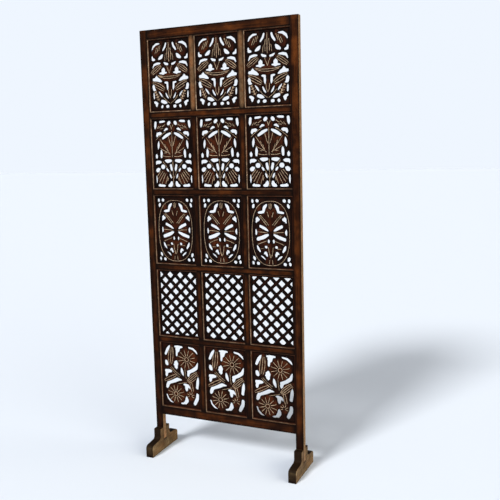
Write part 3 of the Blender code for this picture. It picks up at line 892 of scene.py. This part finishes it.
def traceOpenings(depth, xs, ys):
    following = {}
    place = {}

    def crossing(i, j, upright):
        key = (i, j, upright)
        if key not in place:
            if upright:
                t = depth[j, i] / (depth[j, i] - depth[j + 1, i])
                place[key] = (xs[i], ys[j] + t * (ys[j + 1] - ys[j]))
            else:
                t = depth[j, i] / (depth[j, i] - depth[j, i + 1])
                place[key] = (xs[i] + t * (xs[i + 1] - xs[i]), ys[j])
        return key

    openHere = depth > 0.0
    mixed = openHere[:-1, :-1].astype(int) + openHere[1:, :-1] + openHere[:-1, 1:] + openHere[1:, 1:]
    for j, i in np.argwhere((mixed > 0) & (mixed < 4)):
        corners = (openHere[j, i], openHere[j, i + 1], openHere[j + 1, i + 1], openHere[j + 1, i])
        sides = (
            crossing(i, j, False) if corners[0] != corners[1] else None,
            crossing(i + 1, j, True) if corners[1] != corners[2] else None,
            crossing(i, j + 1, False) if corners[2] != corners[3] else None,
            crossing(i, j, True) if corners[3] != corners[0] else None,
        )
        leaving = [k for k in range(4) if corners[k] and not corners[(k + 1) % 4]]
        entering = [k for k in range(4) if not corners[k] and corners[(k + 1) % 4]]
        centreOpen = depth[j:j + 2, i:i + 2].mean() > 0.0
        for k in leaving:
            if len(entering) == 1:
                other = entering[0]
            elif centreOpen:
                other = (k + 1) % 4
            else:
                other = (k + 3) % 4
            following[sides[k]] = sides[other]
    loops = []
    while following:
        start, here = following.popitem()
        loop = [place[start]]
        while here != start:
            loop.append(place[here])
            here = following.pop(here)
        loops.append(np.array(loop))
    return loops


def loopArea(loop):
    x, y = loop[:, 0], loop[:, 1]
    return 0.5 * float(np.sum(x * np.roll(y, -1) - np.roll(x, -1) * y))


def smoothLoop(loop, spacing):
    # even steps along the outline, after one light smoothing of the traced points
    soft = (np.roll(loop, 1, axis=0) + 2.0 * loop + np.roll(loop, -1, axis=0)) / 4.0
    closed = np.vstack([soft, soft[:1]])
    run = np.concatenate([[0.0], np.cumsum(np.hypot(*np.diff(closed, axis=0).T))])
    count = max(8, int(round(run[-1] / spacing)))
    at = np.linspace(0.0, run[-1], count, endpoint=False)
    return np.stack([np.interp(at, run, closed[:, k]) for k in range(2)], axis=1)


# Carved panels, in millimetres

panelForm = {
    "halfWide": 91.3667, "halfTall": 142.5,     # carved face inside the beading
    "face": -4.0, "back": 4.0,                  # y of the panel's two faces
    "beadWidth": 6.0, "flange": 5.5,
    "traceStep": 1.0, "traceShift": (0.013, 0.017),     # keeps the grid off the motifs' own lines
    "outlineStep": 1.5,
    "smallestOpening": 60.0,                    # square millimetres
    "rimStep": 4.0,                             # spacing of points along the face's own outline
    "edgeDrop": 1.3, "edgeReach": 0.7,          # rounded rim of an opening
    "dome": 1.2, "domeReach": 5.0, "liftReach": 1.1, "raisedReach": 1.6,
    "veinHeight": 0.55, "veinWidth": 0.75, "veinClear": 1.2, "veinFade": 1.5,
    "valleyDepth": 0.6, "valleyAway": 2.1, "valleyWidth": 0.8,      # hollow on each side of a vein
    "beadFade": 2.0,                            # the relief dies away this close to the beading
    "wobble": 0.12, "wobbleScale": 14.0,
}

# where the carved face gets its points
pointForm = {
    "rings": ((0.55, 1), (1.5, 1), (3.2, 2)),   # distance into the wood, and one point in how many
    "ringClear": 0.35,
    "veinStep": 2.4, "veinSide": 1.15, "veinSides": (0.0, -1.0, 1.0, -2.3, 2.3), "veinClear": 0.9,
    "grids": ((1.5, True), (4.2, False)),       # step, and whether it keeps to the motifs' edges
    "jitter": 0.3, "gridClear": 1.0, "motifEdge": (-1.9, 0.4),
    "cell": 0.6,                                # one point at most in a cell of this size
}

# the back is flat, so it needs few points
backForm = {
    "ringAway": 2.4, "ringEvery": 3, "gridStep": 9.0, "clear": 1.8, "cell": 1.5,
    "edgeReach": 2.0, "edgeWorn": 0.2, "edgeShadeAndGrime": 0.4, "flangeGrime": 0.6,
}

faceFinish = {
    "ribPower": 1.3,
    # painted shade: near-black on the openings' walls and round their edges, in the hollows beside the
    # veins and close to the beading
    "edgeShadeAndGrime": 0.95, "edgeReach": 1.9,
    "veinShadeAway": 2.5, "veinShadeWidth": 1.35,
    "beadShade": 0.6, "beadReach": 3.0,
    "groundShade": 0.6,                         # painted shade on the low ground between the motifs
    "restingGrime": {"lily": 0.10, "maple": 0.14, "medallion": 0.16, "lattice": 0.70, "flowers": 0.0},
    "mostGrimeAndShade": 0.97,
}

beadFinish = {
    "wearAndHighlight": {"lily": 0.9, "maple": 0.7, "medallion": 0.55, "lattice": 0.5, "flowers": 0.45},
    "left": 1.0, "right": 0.0, "bottom": 0.55, "top": 0.15,     # wear and painted highlight on each side of a panel; the left beads face the light on the right
    "crest": 1.5, "crestWidth": 1.2,            # inset of the pale line of wear and painted highlight, and its width
    "patchMiddle": 0.75, "patchSwing": 0.6, "patchScale": 60.0, "patchLeast": 0.1,
    # painted shade at the beading's foot and outer wall, and on the right-hand beads, which face away from
    # the light
    "lowDarkening": 0.8, "lowDepth": -5.5, "rightShade": 0.55, "grimeAndShade": 0.15,
    "setBack": 0.12, "wobble": 0.10, "wobbleScale": 40.0,
}

# the beading's section: inset from its outer wall, and y
beadSection = (
    (0.0, -4.0), (0.0, -9.9), (0.25, -10.3), (0.75, -10.5), (2.1, -10.5), (2.8, -10.3),
    (3.5, -9.8), (4.2, -9.0), (4.8, -7.9), (5.3, -6.5), (5.7, -5.1), (6.0, -4.0),
)


def outlineRing(outward, counts):
    # points round a rectangle that stands out from the carved face by this much
    halfWide, halfTall = panelForm["halfWide"] + outward, panelForm["halfTall"] + outward
    corners = ((-halfWide, -halfTall), (halfWide, -halfTall), (halfWide, halfTall), (-halfWide, halfTall))
    points = []
    for i, count in enumerate(counts):
        (ax, ay), (bx, by) = corners[i], corners[(i + 1) % 4]
        points += [(ax + (bx - ax) * k / count, ay + (by - ay) * k / count) for k in range(count)]
    return np.array(points)


def outwardOf(loop):
    # unit steps from an opening's outline into the wood
    along = np.roll(loop, -1, axis=0) - np.roll(loop, 1, axis=0)
    along /= np.maximum(np.hypot(*along.T), 1e-6)[:, None]
    return np.stack([along[:, 1], -along[:, 0]], axis=1)


def veinDistance(name, points):
    reach = 6
    best = np.full(len(points), 50.0)
    for line in veinLines[name]:
        for start, end in zip(line[:-1], line[1:]):
            near = np.ones(len(points), bool)
            for k in range(2):
                near &= points[:, k] > min(start[k], end[k]) - reach
                near &= points[:, k] < max(start[k], end[k]) + reach
            away = nearRun(points[near, 0], points[near, 1], start, end)[0]
            best[near] = np.minimum(best[near], away)
    return best


def ripple(points, scale, seed):
    # slow hand-cut unevenness, from -1 to 1
    rng = np.random.default_rng(seed)
    waves = 5
    total = np.zeros(len(points))
    for i in range(waves):
        turn = rng.uniform(0.0, 2.0 * math.pi)
        rate = 2.0 * math.pi / (scale * rng.uniform(0.5, 1.6))
        place = points[:, 0] * math.cos(turn) + points[:, 1] * math.sin(turn)
        total += np.sin(place * rate + rng.uniform(0, 6.28))
    return total / waves


def relief(name, column, points):
    # at each point: its height, its depth in the wood, and how much it is a vein,
    # the side of a vein and a raised motif
    form, finish = panelForm, faceFinish
    wood = np.minimum(woodAt(name, column, points), 0.0)
    top = np.zeros(len(points))
    raised = np.zeros(len(points))
    for distance, lift in patternParts(name, points[:, 0], points[:, 1], column):
        inside = np.clip(-distance, 0.0, None)
        if lift > 0.0:
            raised = np.maximum(raised, np.clip(inside / form["raisedReach"], 0.0, 1.0))
        rise = lift * np.clip(inside / form["liftReach"], 0.0, 1.0)
        rise += form["dome"] * (1.0 - np.exp(-inside / form["domeReach"]))
        top = np.maximum(top, np.where(distance < 0.0, rise, 0.0))
    top -= form["edgeDrop"] * np.exp(wood / form["edgeReach"])
    away = veinDistance(name, points)
    rib = np.exp(-(away / form["veinWidth"]) ** 2)
    valley = np.exp(-((away - form["valleyAway"]) / form["valleyWidth"]) ** 2)
    # the hollows beside a vein get painted shade
    besideVeinShade = np.exp(-((away - finish["veinShadeAway"]) / finish["veinShadeWidth"]) ** 2)
    held = np.clip((-wood - form["veinClear"]) / form["veinFade"], 0.0, 1.0)
    top += held * (form["veinHeight"] * rib - form["valleyDepth"] * valley)
    top += form["wobble"] * ripple(points, form["wobbleScale"], 5)
    return top, wood, rib * held, besideVeinShade * held, raised


def veinPoints(name):
    form = pointForm
    out = panelForm["veinWidth"] * form["veinSide"]
    runs = []
    for line in veinLines[name]:
        for (ax, ay), (bx, by) in zip(line[:-1], line[1:]):
            length = math.hypot(bx - ax, by - ay)
            count = max(1, int(length / form["veinStep"]))
            t = (np.arange(count) + 0.5) / count
            for share in form["veinSides"]:
                px = ax + (bx - ax) * t - (by - ay) / length * (share * out)
                py = ay + (by - ay) * t + (bx - ax) / length * (share * out)
                runs.append(np.stack([px, py], axis=1))
    return np.vstack(runs) if runs else np.zeros((0, 2))


def atMotifEdge(name, column, points):
    low, high = pointForm["motifEdge"]
    nearEdge = np.zeros(len(points), bool)
    for distance, lift in patternParts(name, points[:, 0], points[:, 1], column):
        if lift:
            nearEdge |= (distance < high) & (distance > low)
    return nearEdge


def spreadPoints(name, column, loops):
    # candidates in order of importance; one is kept in each small cell
    form = pointForm
    reach = np.array([panelForm["halfWide"], panelForm["halfTall"]])
    rng = np.random.default_rng(7)
    rings = [(loop + outwardOf(loop) * away)[::every] for loop in loops for away, every in form["rings"]]
    clearOf = [(np.vstack(rings), form["ringClear"]), (veinPoints(name), form["veinClear"])]
    sets = [points[woodAt(name, column, points) < -clear] for points, clear in clearOf]
    for step, edgesOnly in form["grids"]:
        xs = np.arange(-reach[0] + step, reach[0] - step * 0.5, step)
        ys = np.arange(-reach[1] + step, reach[1] - step * 0.5, step)
        x, y = np.meshgrid(xs, ys)
        points = np.stack([x.ravel(), y.ravel()], axis=1)
        points += rng.uniform(-form["jitter"], form["jitter"], points.shape) * step
        keep = woodAt(name, column, points) < -form["gridClear"]
        if edgesOnly:
            keep &= atMotifEdge(name, column, points)
        sets.append(points[keep])
    taken = set()
    for loop in loops:
        taken.update((int(a), int(b)) for a, b in np.floor(loop / form["cell"]))
    kept = []
    for points in sets:
        points = points[(np.abs(points) < reach - form["cell"]).all(axis=1)]
        for point, (a, b) in zip(points, np.floor(points / form["cell"]).astype(int)):
            key = (int(a), int(b))
            if key not in taken:
                taken.add(key)
                kept.append(point)
    return np.array(kept)


def fillFace(outer, loops, inside):
    # triangles over a face with openings; gives places, triangles and where each outline point went
    points = np.vstack([outer] + loops + [inside])
    faces = []
    start = 0
    for ring in [outer] + loops:
        faces.append(list(range(start, start + len(ring))))
        start += len(ring)
    found = delaunay_2d_cdt([Vector(p) for p in points.tolist()], [], faces, 0, 1e-5)
    places = np.array([(p.x, p.y) for p in found[0]])
    triangles = [t for t, source in zip(found[2], found[5]) if source == [0]]
    placed = {}
    for number, sources in enumerate(found[3]):
        for source in sources:
            placed[source] = number
    rings = [[placed[i] for i in face] for face in faces]
    return places, triangles, rings


def addVerts(shape, points, depths, wearAndHighlight, grimeAndShade):
    first = len(shape["verts"])
    shape["verts"].extend((float(u), float(d), float(v)) for (u, v), d in zip(points, depths))
    shape["wearAndHighlight"].extend(float(w) for w in wearAndHighlight)
    shape["grimeAndShade"].extend(float(g) for g in grimeAndShade)
    return list(range(first, first + len(points)))


def joinRings(shape, first, second):
    count = len(first)
    for i in range(count):
        k = (i + 1) % count
        shape["faces"].append((first[i], second[i], second[k], first[k]))


def addCarvedFace(shape, name, column, loops, counts):
    form, finish = panelForm, faceFinish
    places, triangles, rings = fillFace(outlineRing(0.0, counts), loops, spreadPoints(name, column, loops))
    height, wood, rib, besideVeinShade, raised = relief(name, column, places)
    fromBead = np.minimum(form["halfWide"] - np.abs(places[:, 0]), form["halfTall"] - np.abs(places[:, 1]))
    height = height * np.clip(fromBead / form["beadFade"], 0.0, 1.0)
    # painted shade round the openings, beside the veins, close to the beading and on the low ground
    grimeAndShade = finish["edgeShadeAndGrime"] * np.exp(wood / finish["edgeReach"]) + besideVeinShade
    grimeAndShade += finish["beadShade"] * np.exp(-fromBead / finish["beadReach"])
    grimeAndShade += finish["groundShade"] * (1.0 - raised)
    grimeAndShade += finish["restingGrime"][name]
    grimeAndShade = np.clip(grimeAndShade * (1.0 - rib), 0, finish["mostGrimeAndShade"])
    # the ribs' pale tops are partly wear and partly painted highlight
    verts = addVerts(shape, places, form["face"] - height, rib ** finish["ribPower"], grimeAndShade)
    shape["faces"].extend(tuple(verts[i] for i in t) for t in triangles)
    return [[verts[i] for i in ring] for ring in rings]


def addBeading(shape, name, counts, inner):
    # from its foot on the carved face out to its outer wall
    form, finish = panelForm, beadFinish
    for inset, depth in reversed(beadSection[:-1]):
        points = outlineRing(form["beadWidth"] - inset, counts)
        x, y = points[:, 0], points[:, 1]
        upright = np.abs(x) - form["halfWide"] > np.abs(y) - form["halfTall"]
        # wear and painted highlight, most on the left beads, which face the light on the right
        wearAndHighlight = np.where(upright, np.where(x < 0.0, finish["left"], finish["right"]),
                        np.where(y < 0.0, finish["bottom"], finish["top"]))
        patch = finish["patchMiddle"] + finish["patchSwing"] * ripple(points, finish["patchScale"], 17)
        wearAndHighlight *= np.clip(patch, finish["patchLeast"], 1.0) * finish["wearAndHighlight"][name]
        wearAndHighlight *= math.exp(-((inset - finish["crest"]) / finish["crestWidth"]) ** 2)
        low = depth > finish["lowDepth"] or inset == 0.0
        # painted shade on the right beads, which face away from the light, and at the beading's foot and
        # outer wall
        grimeAndShade = np.where(upright & (x > 0.0), finish["rightShade"], finish["grimeAndShade"])
        grimeAndShade = np.maximum(grimeAndShade, finish["lowDarkening"] if low else 0.0)
        if inset > 0.0:
            sway = finish["wobble"] * ripple(points, finish["wobbleScale"], 11)
            depths = depth + finish["setBack"] + sway
        else:
            depths = np.full(len(points), depth)
        ring = addVerts(shape, points, depths, wearAndHighlight, grimeAndShade)
        joinRings(shape, ring, inner)
        inner = ring
    return inner


def addBack(shape, name, column, loops, counts, beadRing, faceLoops):
    # flange, edge and flat back
    form, back = panelForm, backForm
    outline = outlineRing(form["beadWidth"] + form["flange"], counts)
    still = np.zeros(len(outline))
    edgeRing = addVerts(shape, outline, still + form["face"], still, still + back["flangeGrime"])
    joinRings(shape, edgeRing, beadRing)
    sparse = [(loop + outwardOf(loop) * back["ringAway"])[::back["ringEvery"]] for loop in loops]
    x, y = np.meshgrid(np.arange(-form["halfWide"], form["halfWide"] + 1, back["gridStep"]),
                       np.arange(-form["halfTall"], form["halfTall"] + 1, back["gridStep"]))
    sparse = np.vstack(sparse + [np.stack([x.ravel(), y.ravel()], axis=1)])
    sparse = sparse[woodAt(name, column, sparse) < -back["clear"]]
    cells = {}
    for point in sparse:
        cells.setdefault((int(point[0] // back["cell"]), int(point[1] // back["cell"])), point)
    places, triangles, rings = fillFace(outline, loops, np.array(list(cells.values())))
    nearEdge = np.exp(np.minimum(woodAt(name, column, places), 0.0) / back["edgeReach"])
    verts = addVerts(shape, places, np.full(len(places), form["back"]),
                     back["edgeWorn"] * nearEdge, back["edgeShadeAndGrime"] * nearEdge)
    shape["faces"].extend(tuple(verts[i] for i in reversed(t)) for t in triangles)
    backRings = [[verts[i] for i in ring] for ring in rings]
    joinRings(shape, backRings[0], edgeRing)
    for front, behind in zip(faceLoops, backRings[1:]):
        joinRings(shape, front, behind)


def panelShape(name, column):
    form = panelForm
    step = form["traceStep"]
    xs = np.arange(-form["halfWide"], form["halfWide"] + step, step) + form["traceShift"][0]
    ys = np.arange(-form["halfTall"], form["halfTall"] + step, step) + form["traceShift"][1]
    x, y = np.meshgrid(xs, ys)
    traced = traceOpenings(woodDepth(name, x, y, column), xs, ys)
    loops = [smoothLoop(loop, form["outlineStep"]) for loop in traced
             if abs(loopArea(loop)) >= form["smallestOpening"]]
    counts = [int(half * 2 / form["rimStep"]) for half in (form["halfWide"], form["halfTall"])] * 2
    shape = {"verts": [], "faces": [], "wearAndHighlight": [], "grimeAndShade": []}
    faceRings = addCarvedFace(shape, name, column, loops, counts)
    beadRing = addBeading(shape, name, counts, faceRings[0])
    addBack(shape, name, column, loops, counts, beadRing, faceRings[1:])
    return shape


def finishMesh(name, shape):
    mesh = bpy.data.meshes.new(name)
    mesh.from_pydata((np.array(shape["verts"]) * mm).tolist(), [], shape["faces"])
    bm = bmesh.new()
    bm.from_mesh(mesh)
    bmesh.ops.recalc_face_normals(bm, faces=bm.faces)
    bm.to_mesh(mesh)
    bm.free()
    setAttributes(mesh, shape["wearAndHighlight"], shape["grimeAndShade"])
    return mesh


def setAttributes(mesh, wearAndHighlight, grimeAndShade):
    for label, values in (("wearAndHighlight", wearAndHighlight), ("grimeAndShade", grimeAndShade)):
        layer = mesh.attributes.new(label, "FLOAT", "POINT")
        layer.data.foreach_set("value", np.asarray(values, dtype=np.float32))
    mesh.polygons.foreach_set("use_smooth", [True] * len(mesh.polygons))
    mesh.set_sharp_from_angle(angle=math.radians(38))


def layGrain(mesh, alongAxis, offset):
    # the wood's own coordinates: along the grain, across it, and into the piece, in metres
    count = len(mesh.vertices)
    places = np.empty(count * 3, dtype=np.float32)
    mesh.vertices.foreach_get("co", places)
    places = places.reshape(count, 3)
    order = {"X": (0, 2, 1), "Y": (1, 2, 0), "Z": (2, 0, 1)}[alongAxis]
    laid = places[:, order] + np.array(offset, dtype=np.float32)
    layer = mesh.attributes.new("grainPlace", "FLOAT_VECTOR", "POINT")
    layer.data.foreach_set("vector", laid.ravel())


def placePiece(name, mesh, node, material, place=(0, 0, 0)):
    mesh.materials.append(material)
    piece = bpy.data.objects.new(name, mesh)
    bpy.context.scene.collection.objects.link(piece)
    piece.location = place
    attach(piece, "root")
    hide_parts(node)


grainRandom = random.Random(20)


def grainOffset():
    return [grainRandom.uniform(-4.0, 4.0) for k in range(3)]


shapes = {}
for row, pattern in enumerate(patternOfRow):
    for column in columnWords:
        key = (pattern, column if pattern == "lattice" and column == "left" else "any")
        if key not in shapes:
            shapes[key] = finishMesh("panel_" + pattern, panelShape(pattern, column))
        node = "panel_%s_%s" % (rowWords[row], column)
        low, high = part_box(node)
        place = ((low[0] + high[0]) / 2.0, 0.0, (low[2] + high[2]) / 2.0)
        mesh = shapes[key].copy()
        layGrain(mesh, "Z", grainOffset())
        placePiece("carved_" + node, mesh, node, woods["panelWood"], place)
for mesh in shapes.values():
    bpy.data.meshes.remove(mesh)
print("carved panels made")


# Stiles, rails and mullions

memberForm = {
    "bevel": 1.3 * mm, "bevelSegments": 3, "bevelProfile": 0.55,
    "slice": 18.0 * mm,                     # spacing of the cuts along a member
    "strips": (0.35, 0.66, 0.86),           # cuts across the front, as shares of the half width
    "wobble": 0.16 * mm, "wobbleScale": 30.0, "wobbleShift": 40.0,
    "endAbove": 0.5,                        # metres above the middle, for a stile's top end
    "roundedWidth": 1.4,                    # millimetres, a little over the bevel
}

memberFinish = {
    "frontDarkening": {"rail": 0.42, "stile": 0.30, "mullion": 0.42},
    "leftStileDarkening": 0.2,                  # darker there
    "lowDarkening": 0.30,                       # and more towards the floor
    # a patchy painted shadow along each member's front edges
    "edgeShadeAndGrime": 0.62, "edgeSwing": 0.35, "edgeReach": 4.6,
    "seamGrime": 0.65, "seamReach": 5.0,
    # a painted highlight on the left leg's sides and the right stile's right side
    "sideGrime": 0.06, "sidePaleness": 0.24, "litSideHighlight": 0.40, "topMullionWorn": 0.20, "edgeWorn": 0.30,
    "legTop": 0.17,                         # metres above the floor, below the bottom rail
}


def cutAcross(bm, cuts):
    # more points on the flat faces, so that they can be uneven
    for direction, value in cuts:
        normal = Vector((0, 0, 0))
        normal[direction] = 1.0
        bmesh.ops.bisect_plane(bm, geom=bm.verts[:] + bm.edges[:] + bm.faces[:], dist=1e-6,
                               plane_co=normal * value, plane_no=normal)
    bmesh.ops.triangulate(bm, faces=[f for f in bm.faces if len(f.verts) > 4])


def evenCuts(direction, low, high, count):
    return [(direction, low + (high - low) * i / count) for i in range(1, count)]


def roundEdges(bm, edges, width, segments, profile):
    bmesh.ops.bevel(bm, geom=edges, offset=width, segments=segments, profile=profile,
                    affect="EDGES", clamp_overlap=True)


def meshOf(bm, name):
    mesh = bpy.data.meshes.new(name)
    bm.to_mesh(mesh)
    bm.free()
    return mesh


def memberBox(node, axis):
    # its corners, its middle, the numbers of its axes along and across, and half its width
    low, high = (Vector(corner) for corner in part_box(node))
    along = "XYZ".index(axis)
    across = 2 - along
    return low, high, (low + high) / 2.0, along, across, (high[across] - low[across]) / 2.0


def memberMesh(node, axis):
    form = memberForm
    low, high, middle, along, across, half = memberBox(node, axis)
    bm = bmesh.new()
    bm.from_mesh(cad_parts[node].data)
    bmesh.ops.remove_doubles(bm, verts=bm.verts, dist=closeBy)
    bmesh.ops.dissolve_limit(bm, angle_limit=0.02, verts=bm.verts, edges=bm.edges)
    outer = []
    for edge in bm.edges:
        a, b = (vert.co - middle for vert in edge.verts)
        onFace = abs(abs(a.y) - high.y) < 2 * closeBy and abs(abs(b.y) - high.y) < 2 * closeBy
        lengthwise = abs(a[across] - b[across]) < closeBy
        freeEnd = node.endswith("stile") and abs(a.z - b.z) < closeBy and a.z > form["endAbove"]
        if (onFace and lengthwise) or freeEnd:
            outer.append(edge)
    roundEdges(bm, outer, form["bevel"], form["bevelSegments"], form["bevelProfile"])
    count = max(2, int((high[along] - low[along]) / form["slice"]))
    cuts = evenCuts(along, low[along], high[along], count)
    for share in form["strips"]:
        for side in (-1, 1):
            cuts.append((across, middle[across] + side * half * share))
    cutAcross(bm, cuts)
    return meshOf(bm, node)


def memberPiece(node, axis):
    form, finish = memberForm, memberFinish
    mesh = memberMesh(node, axis)
    low, high, middle, along, across, half = memberBox(node, axis)
    kind = next(word for word in finish["frontDarkening"] if word in node)
    topMullion = node.startswith("mullion_top")
    wearAndHighlight, grimeAndShade = [], []
    for vert in mesh.vertices:
        off = vert.co - middle
        sway = 0.5 + 0.5 * noise(vert.co * form["wobbleScale"] + middle * form["wobbleShift"])
        ends = min(vert.co[along] - low[along], high[along] - vert.co[along])
        if abs(off.y) > high.y - 2 * closeBy:
            vert.co.y -= math.copysign(form["wobble"] * sway, off.y)
        fromEdge = (1.0 - abs(off[across]) / half) * half / mm
        onFront = abs(off.y) > high.y - form["roundedWidth"] * mm and abs(off[across]) < half - 2 * closeBy
        rounded = onFront and fromEdge < form["roundedWidth"]
        seam = 0.0 if kind == "stile" else math.exp(-ends / mm / finish["seamReach"])
        lowShare = 1.0 - vert.co.z / high.z if kind == "stile" else 1.0 - middle.z / cadBox[1][2]
        resting = 0.0 if topMullion else finish["frontDarkening"][kind] + finish["lowDarkening"] * lowShare
        if node == "left_stile":
            resting += finish["leftStileDarkening"]
        # patchy painted shadow along the front edges
        edgeShade = finish["edgeShadeAndGrime"] + finish["edgeSwing"] * sway
        atEdge = edgeShade * math.exp(-(fromEdge / finish["edgeReach"]) ** 2)
        band = resting * (0.5 + sway) + atEdge if onFront else finish["sideGrime"]
        grimeAndShade.append(min(1.0, band + finish["seamGrime"] * seam))
        leftLeg = node == "left_stile" and vert.co.z < finish["legTop"]
        # painted highlight on the left leg's sides and the right stile's right side, towards the light on
        # the right
        litSide = leftLeg or (node == "right_stile" and off.x > 0.0)
        sidePaleness = finish["litSideHighlight"] if litSide else finish["sidePaleness"]
        frontWorn = finish["topMullionWorn"] if topMullion else 0.0
        wearAndHighlight.append(finish["edgeWorn"] * sway if rounded else frontWorn if onFront else sidePaleness)
    setAttributes(mesh, wearAndHighlight, grimeAndShade)
    layGrain(mesh, axis, grainOffset())
    return mesh


members = [("left_stile", "Z"), ("right_stile", "Z"), ("top_rail", "X"), ("bottom_rail", "X")]
members += [("mid_rail_%d" % number, "X") for number in range(1, 5)]
members += [("mullion_%s_%s" % (row, side), "Z") for row in rowWords for side in ("left", "right")]
for node, axis in members:
    placePiece("worn_" + node, memberPiece(node, axis), node, woods["frameWood"])
print("frame members made")


# Feet, in millimetres

footForm = {
    "length": 218.0, "width": 34.0, "noseHeight": 38.0, "noseRadius": 16.0,
    "backHeight": 58.0, "backStart": 52.0, "earOuter": 38.0, "earHeight": 104.0,
    "slotHalf": 13.3, "legEnd": 50.0,
    "curveSteps": 12, "bevel": 1.8, "bevelSegments": 3, "bevelProfile": 0.6,
    "slice": 9.0, "widthCuts": (0.2, 0.5, 0.8),
    "wobble": 0.2, "wobbleScale": 34.0, "wobbleShift": 9.0,
}

footFinish = {
    # painted shade near the floor
    "groundShade": 0.6, "groundReach": 6.0,
    "slotGrime": 0.7, "slotReach": 15.0, "slotBottom": 46.0,
    # painted shade on the faces that don't face sideways, the nose a little less
    "frontDarkening": 0.95, "noseShade": 0.85, "noseStart": 100.0, "noseTop": 45.0, "noseShare": 0.4,
    "toeWorn": 0.25, "toe": 104.0, "toeWidth": 12.0, "toeBottom": 30.0,
    # paleness all over, which shows on the sides as a painted highlight
    "edgeWorn": 0.35, "edgeWidth": 1.9, "edgeBottom": 10.0, "sidePaleness": 0.30,
}


def footOutline():
    form = footForm
    half = form["length"] / 2.0
    hollow = form["backStart"] - form["earOuter"]
    turns = [math.radians(90.0 * i / form["curveSteps"]) for i in range(1, form["curveSteps"] + 1)]
    side = [(half, 0.0), (half, form["noseHeight"])]
    side += [(half - form["noseRadius"] * (1.0 - math.cos(turn)),
              form["noseHeight"] + form["noseRadius"] * math.sin(turn)) for turn in turns]
    side.append((form["backStart"], form["backHeight"]))
    side += [(form["backStart"] - hollow * math.sin(turn),
              form["backHeight"] + hollow * (1.0 - math.cos(turn))) for turn in turns]
    side += [(form["earOuter"], form["earHeight"]), (form["slotHalf"], form["earHeight"]),
             (form["slotHalf"], form["legEnd"])]
    return side + [(-y, z) for y, z in reversed(side)]


def footMesh(node):
    form = footForm
    low, high = (Vector(corner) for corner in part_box(node))
    bm = bmesh.new()
    sides = []
    for x in (low.x, high.x):
        sides.append([bm.verts.new((x, y * mm, z * mm)) for y, z in footOutline()])
    count = len(sides[0])
    bm.faces.new(sides[0])
    bm.faces.new(sides[1])
    for i in range(count):
        k = (i + 1) % count
        bm.faces.new((sides[0][i], sides[0][k], sides[1][k], sides[1][i]))
    bmesh.ops.recalc_face_normals(bm, faces=bm.faces)
    outer = []
    for edge in bm.edges:
        a, b = (vert.co for vert in edge.verts)
        inSlot = max(abs(a.y), abs(b.y)) < form["slotHalf"] * mm + closeBy
        sideEdge = abs(a.x - b.x) < closeBy
        sharp = edge.calc_face_angle(0.0) > math.radians(40) and edge.is_convex
        if not inSlot and (sideEdge or sharp):
            outer.append(edge)
    roundEdges(bm, outer, form["bevel"] * mm, form["bevelSegments"], form["bevelProfile"])
    cuts = []
    for direction, size in ((1, form["length"]), (2, form["earHeight"])):
        cuts += evenCuts(direction, low[direction], high[direction], int(size / form["slice"]))
    cuts += [(0, low.x + (high.x - low.x) * share) for share in form["widthCuts"]]
    cutAcross(bm, cuts)
    return meshOf(bm, node)


def footPiece(node):
    form, finish = footForm, footFinish
    mesh = footMesh(node)
    low, high = (Vector(corner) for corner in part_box(node))
    middle = (low.x + high.x) / 2.0
    halfWidth = form["width"] / 2.0
    shift = Vector((middle * form["wobbleShift"], 0, 0))
    wearAndHighlight, grimeAndShade = [], []
    for vert in mesh.vertices:
        x, y, z = vert.co
        off, along, up = (x - middle) / mm, y / mm, z / mm
        sway = 0.5 + 0.5 * noise(vert.co * form["wobbleScale"] + shift)
        if abs(off) > halfWidth - closeBy / mm:
            vert.co.x -= math.copysign(form["wobble"] * mm * sway, off)
        onNose = abs(along) > finish["noseStart"] and up < finish["noseTop"]
        nose = onNose and abs(off) < finish["noseShare"] * form["width"]
        # painted shade on the nose, front, back and top, which face away from the light at the sides
        facing = finish["noseShade"] if nose else finish["frontDarkening"] if vert.normal.x ** 2 < 0.5 else 0.0
        inSlot = abs(along) < finish["slotReach"] and up > finish["slotBottom"]
        # painted shade near the floor
        nearGround = finish["groundShade"] * math.exp(-up / finish["groundReach"])
        grimeAndShade.append(min(1.0, nearGround + (finish["slotGrime"] if inSlot else facing)))
        toe = math.exp(-((along + finish["toe"]) / finish["toeWidth"]) ** 2)
        if up <= finish["toeBottom"]:
            toe = 0.0
        atEdge = halfWidth - abs(off) < finish["edgeWidth"] and up > finish["edgeBottom"]
        # the paleness shows on the sides as a painted highlight
        rest = finish["edgeWorn"] * sway if atEdge else finish["sidePaleness"]
        wearAndHighlight.append(min(1.0, finish["toeWorn"] * toe + rest))
    setAttributes(mesh, wearAndHighlight, grimeAndShade)
    layGrain(mesh, "Y", grainOffset())
    return mesh


for node in ("left_foot", "right_foot"):
    placePiece("worn_" + node, footPiece(node), node, woods["footWood"])
print("feet made")
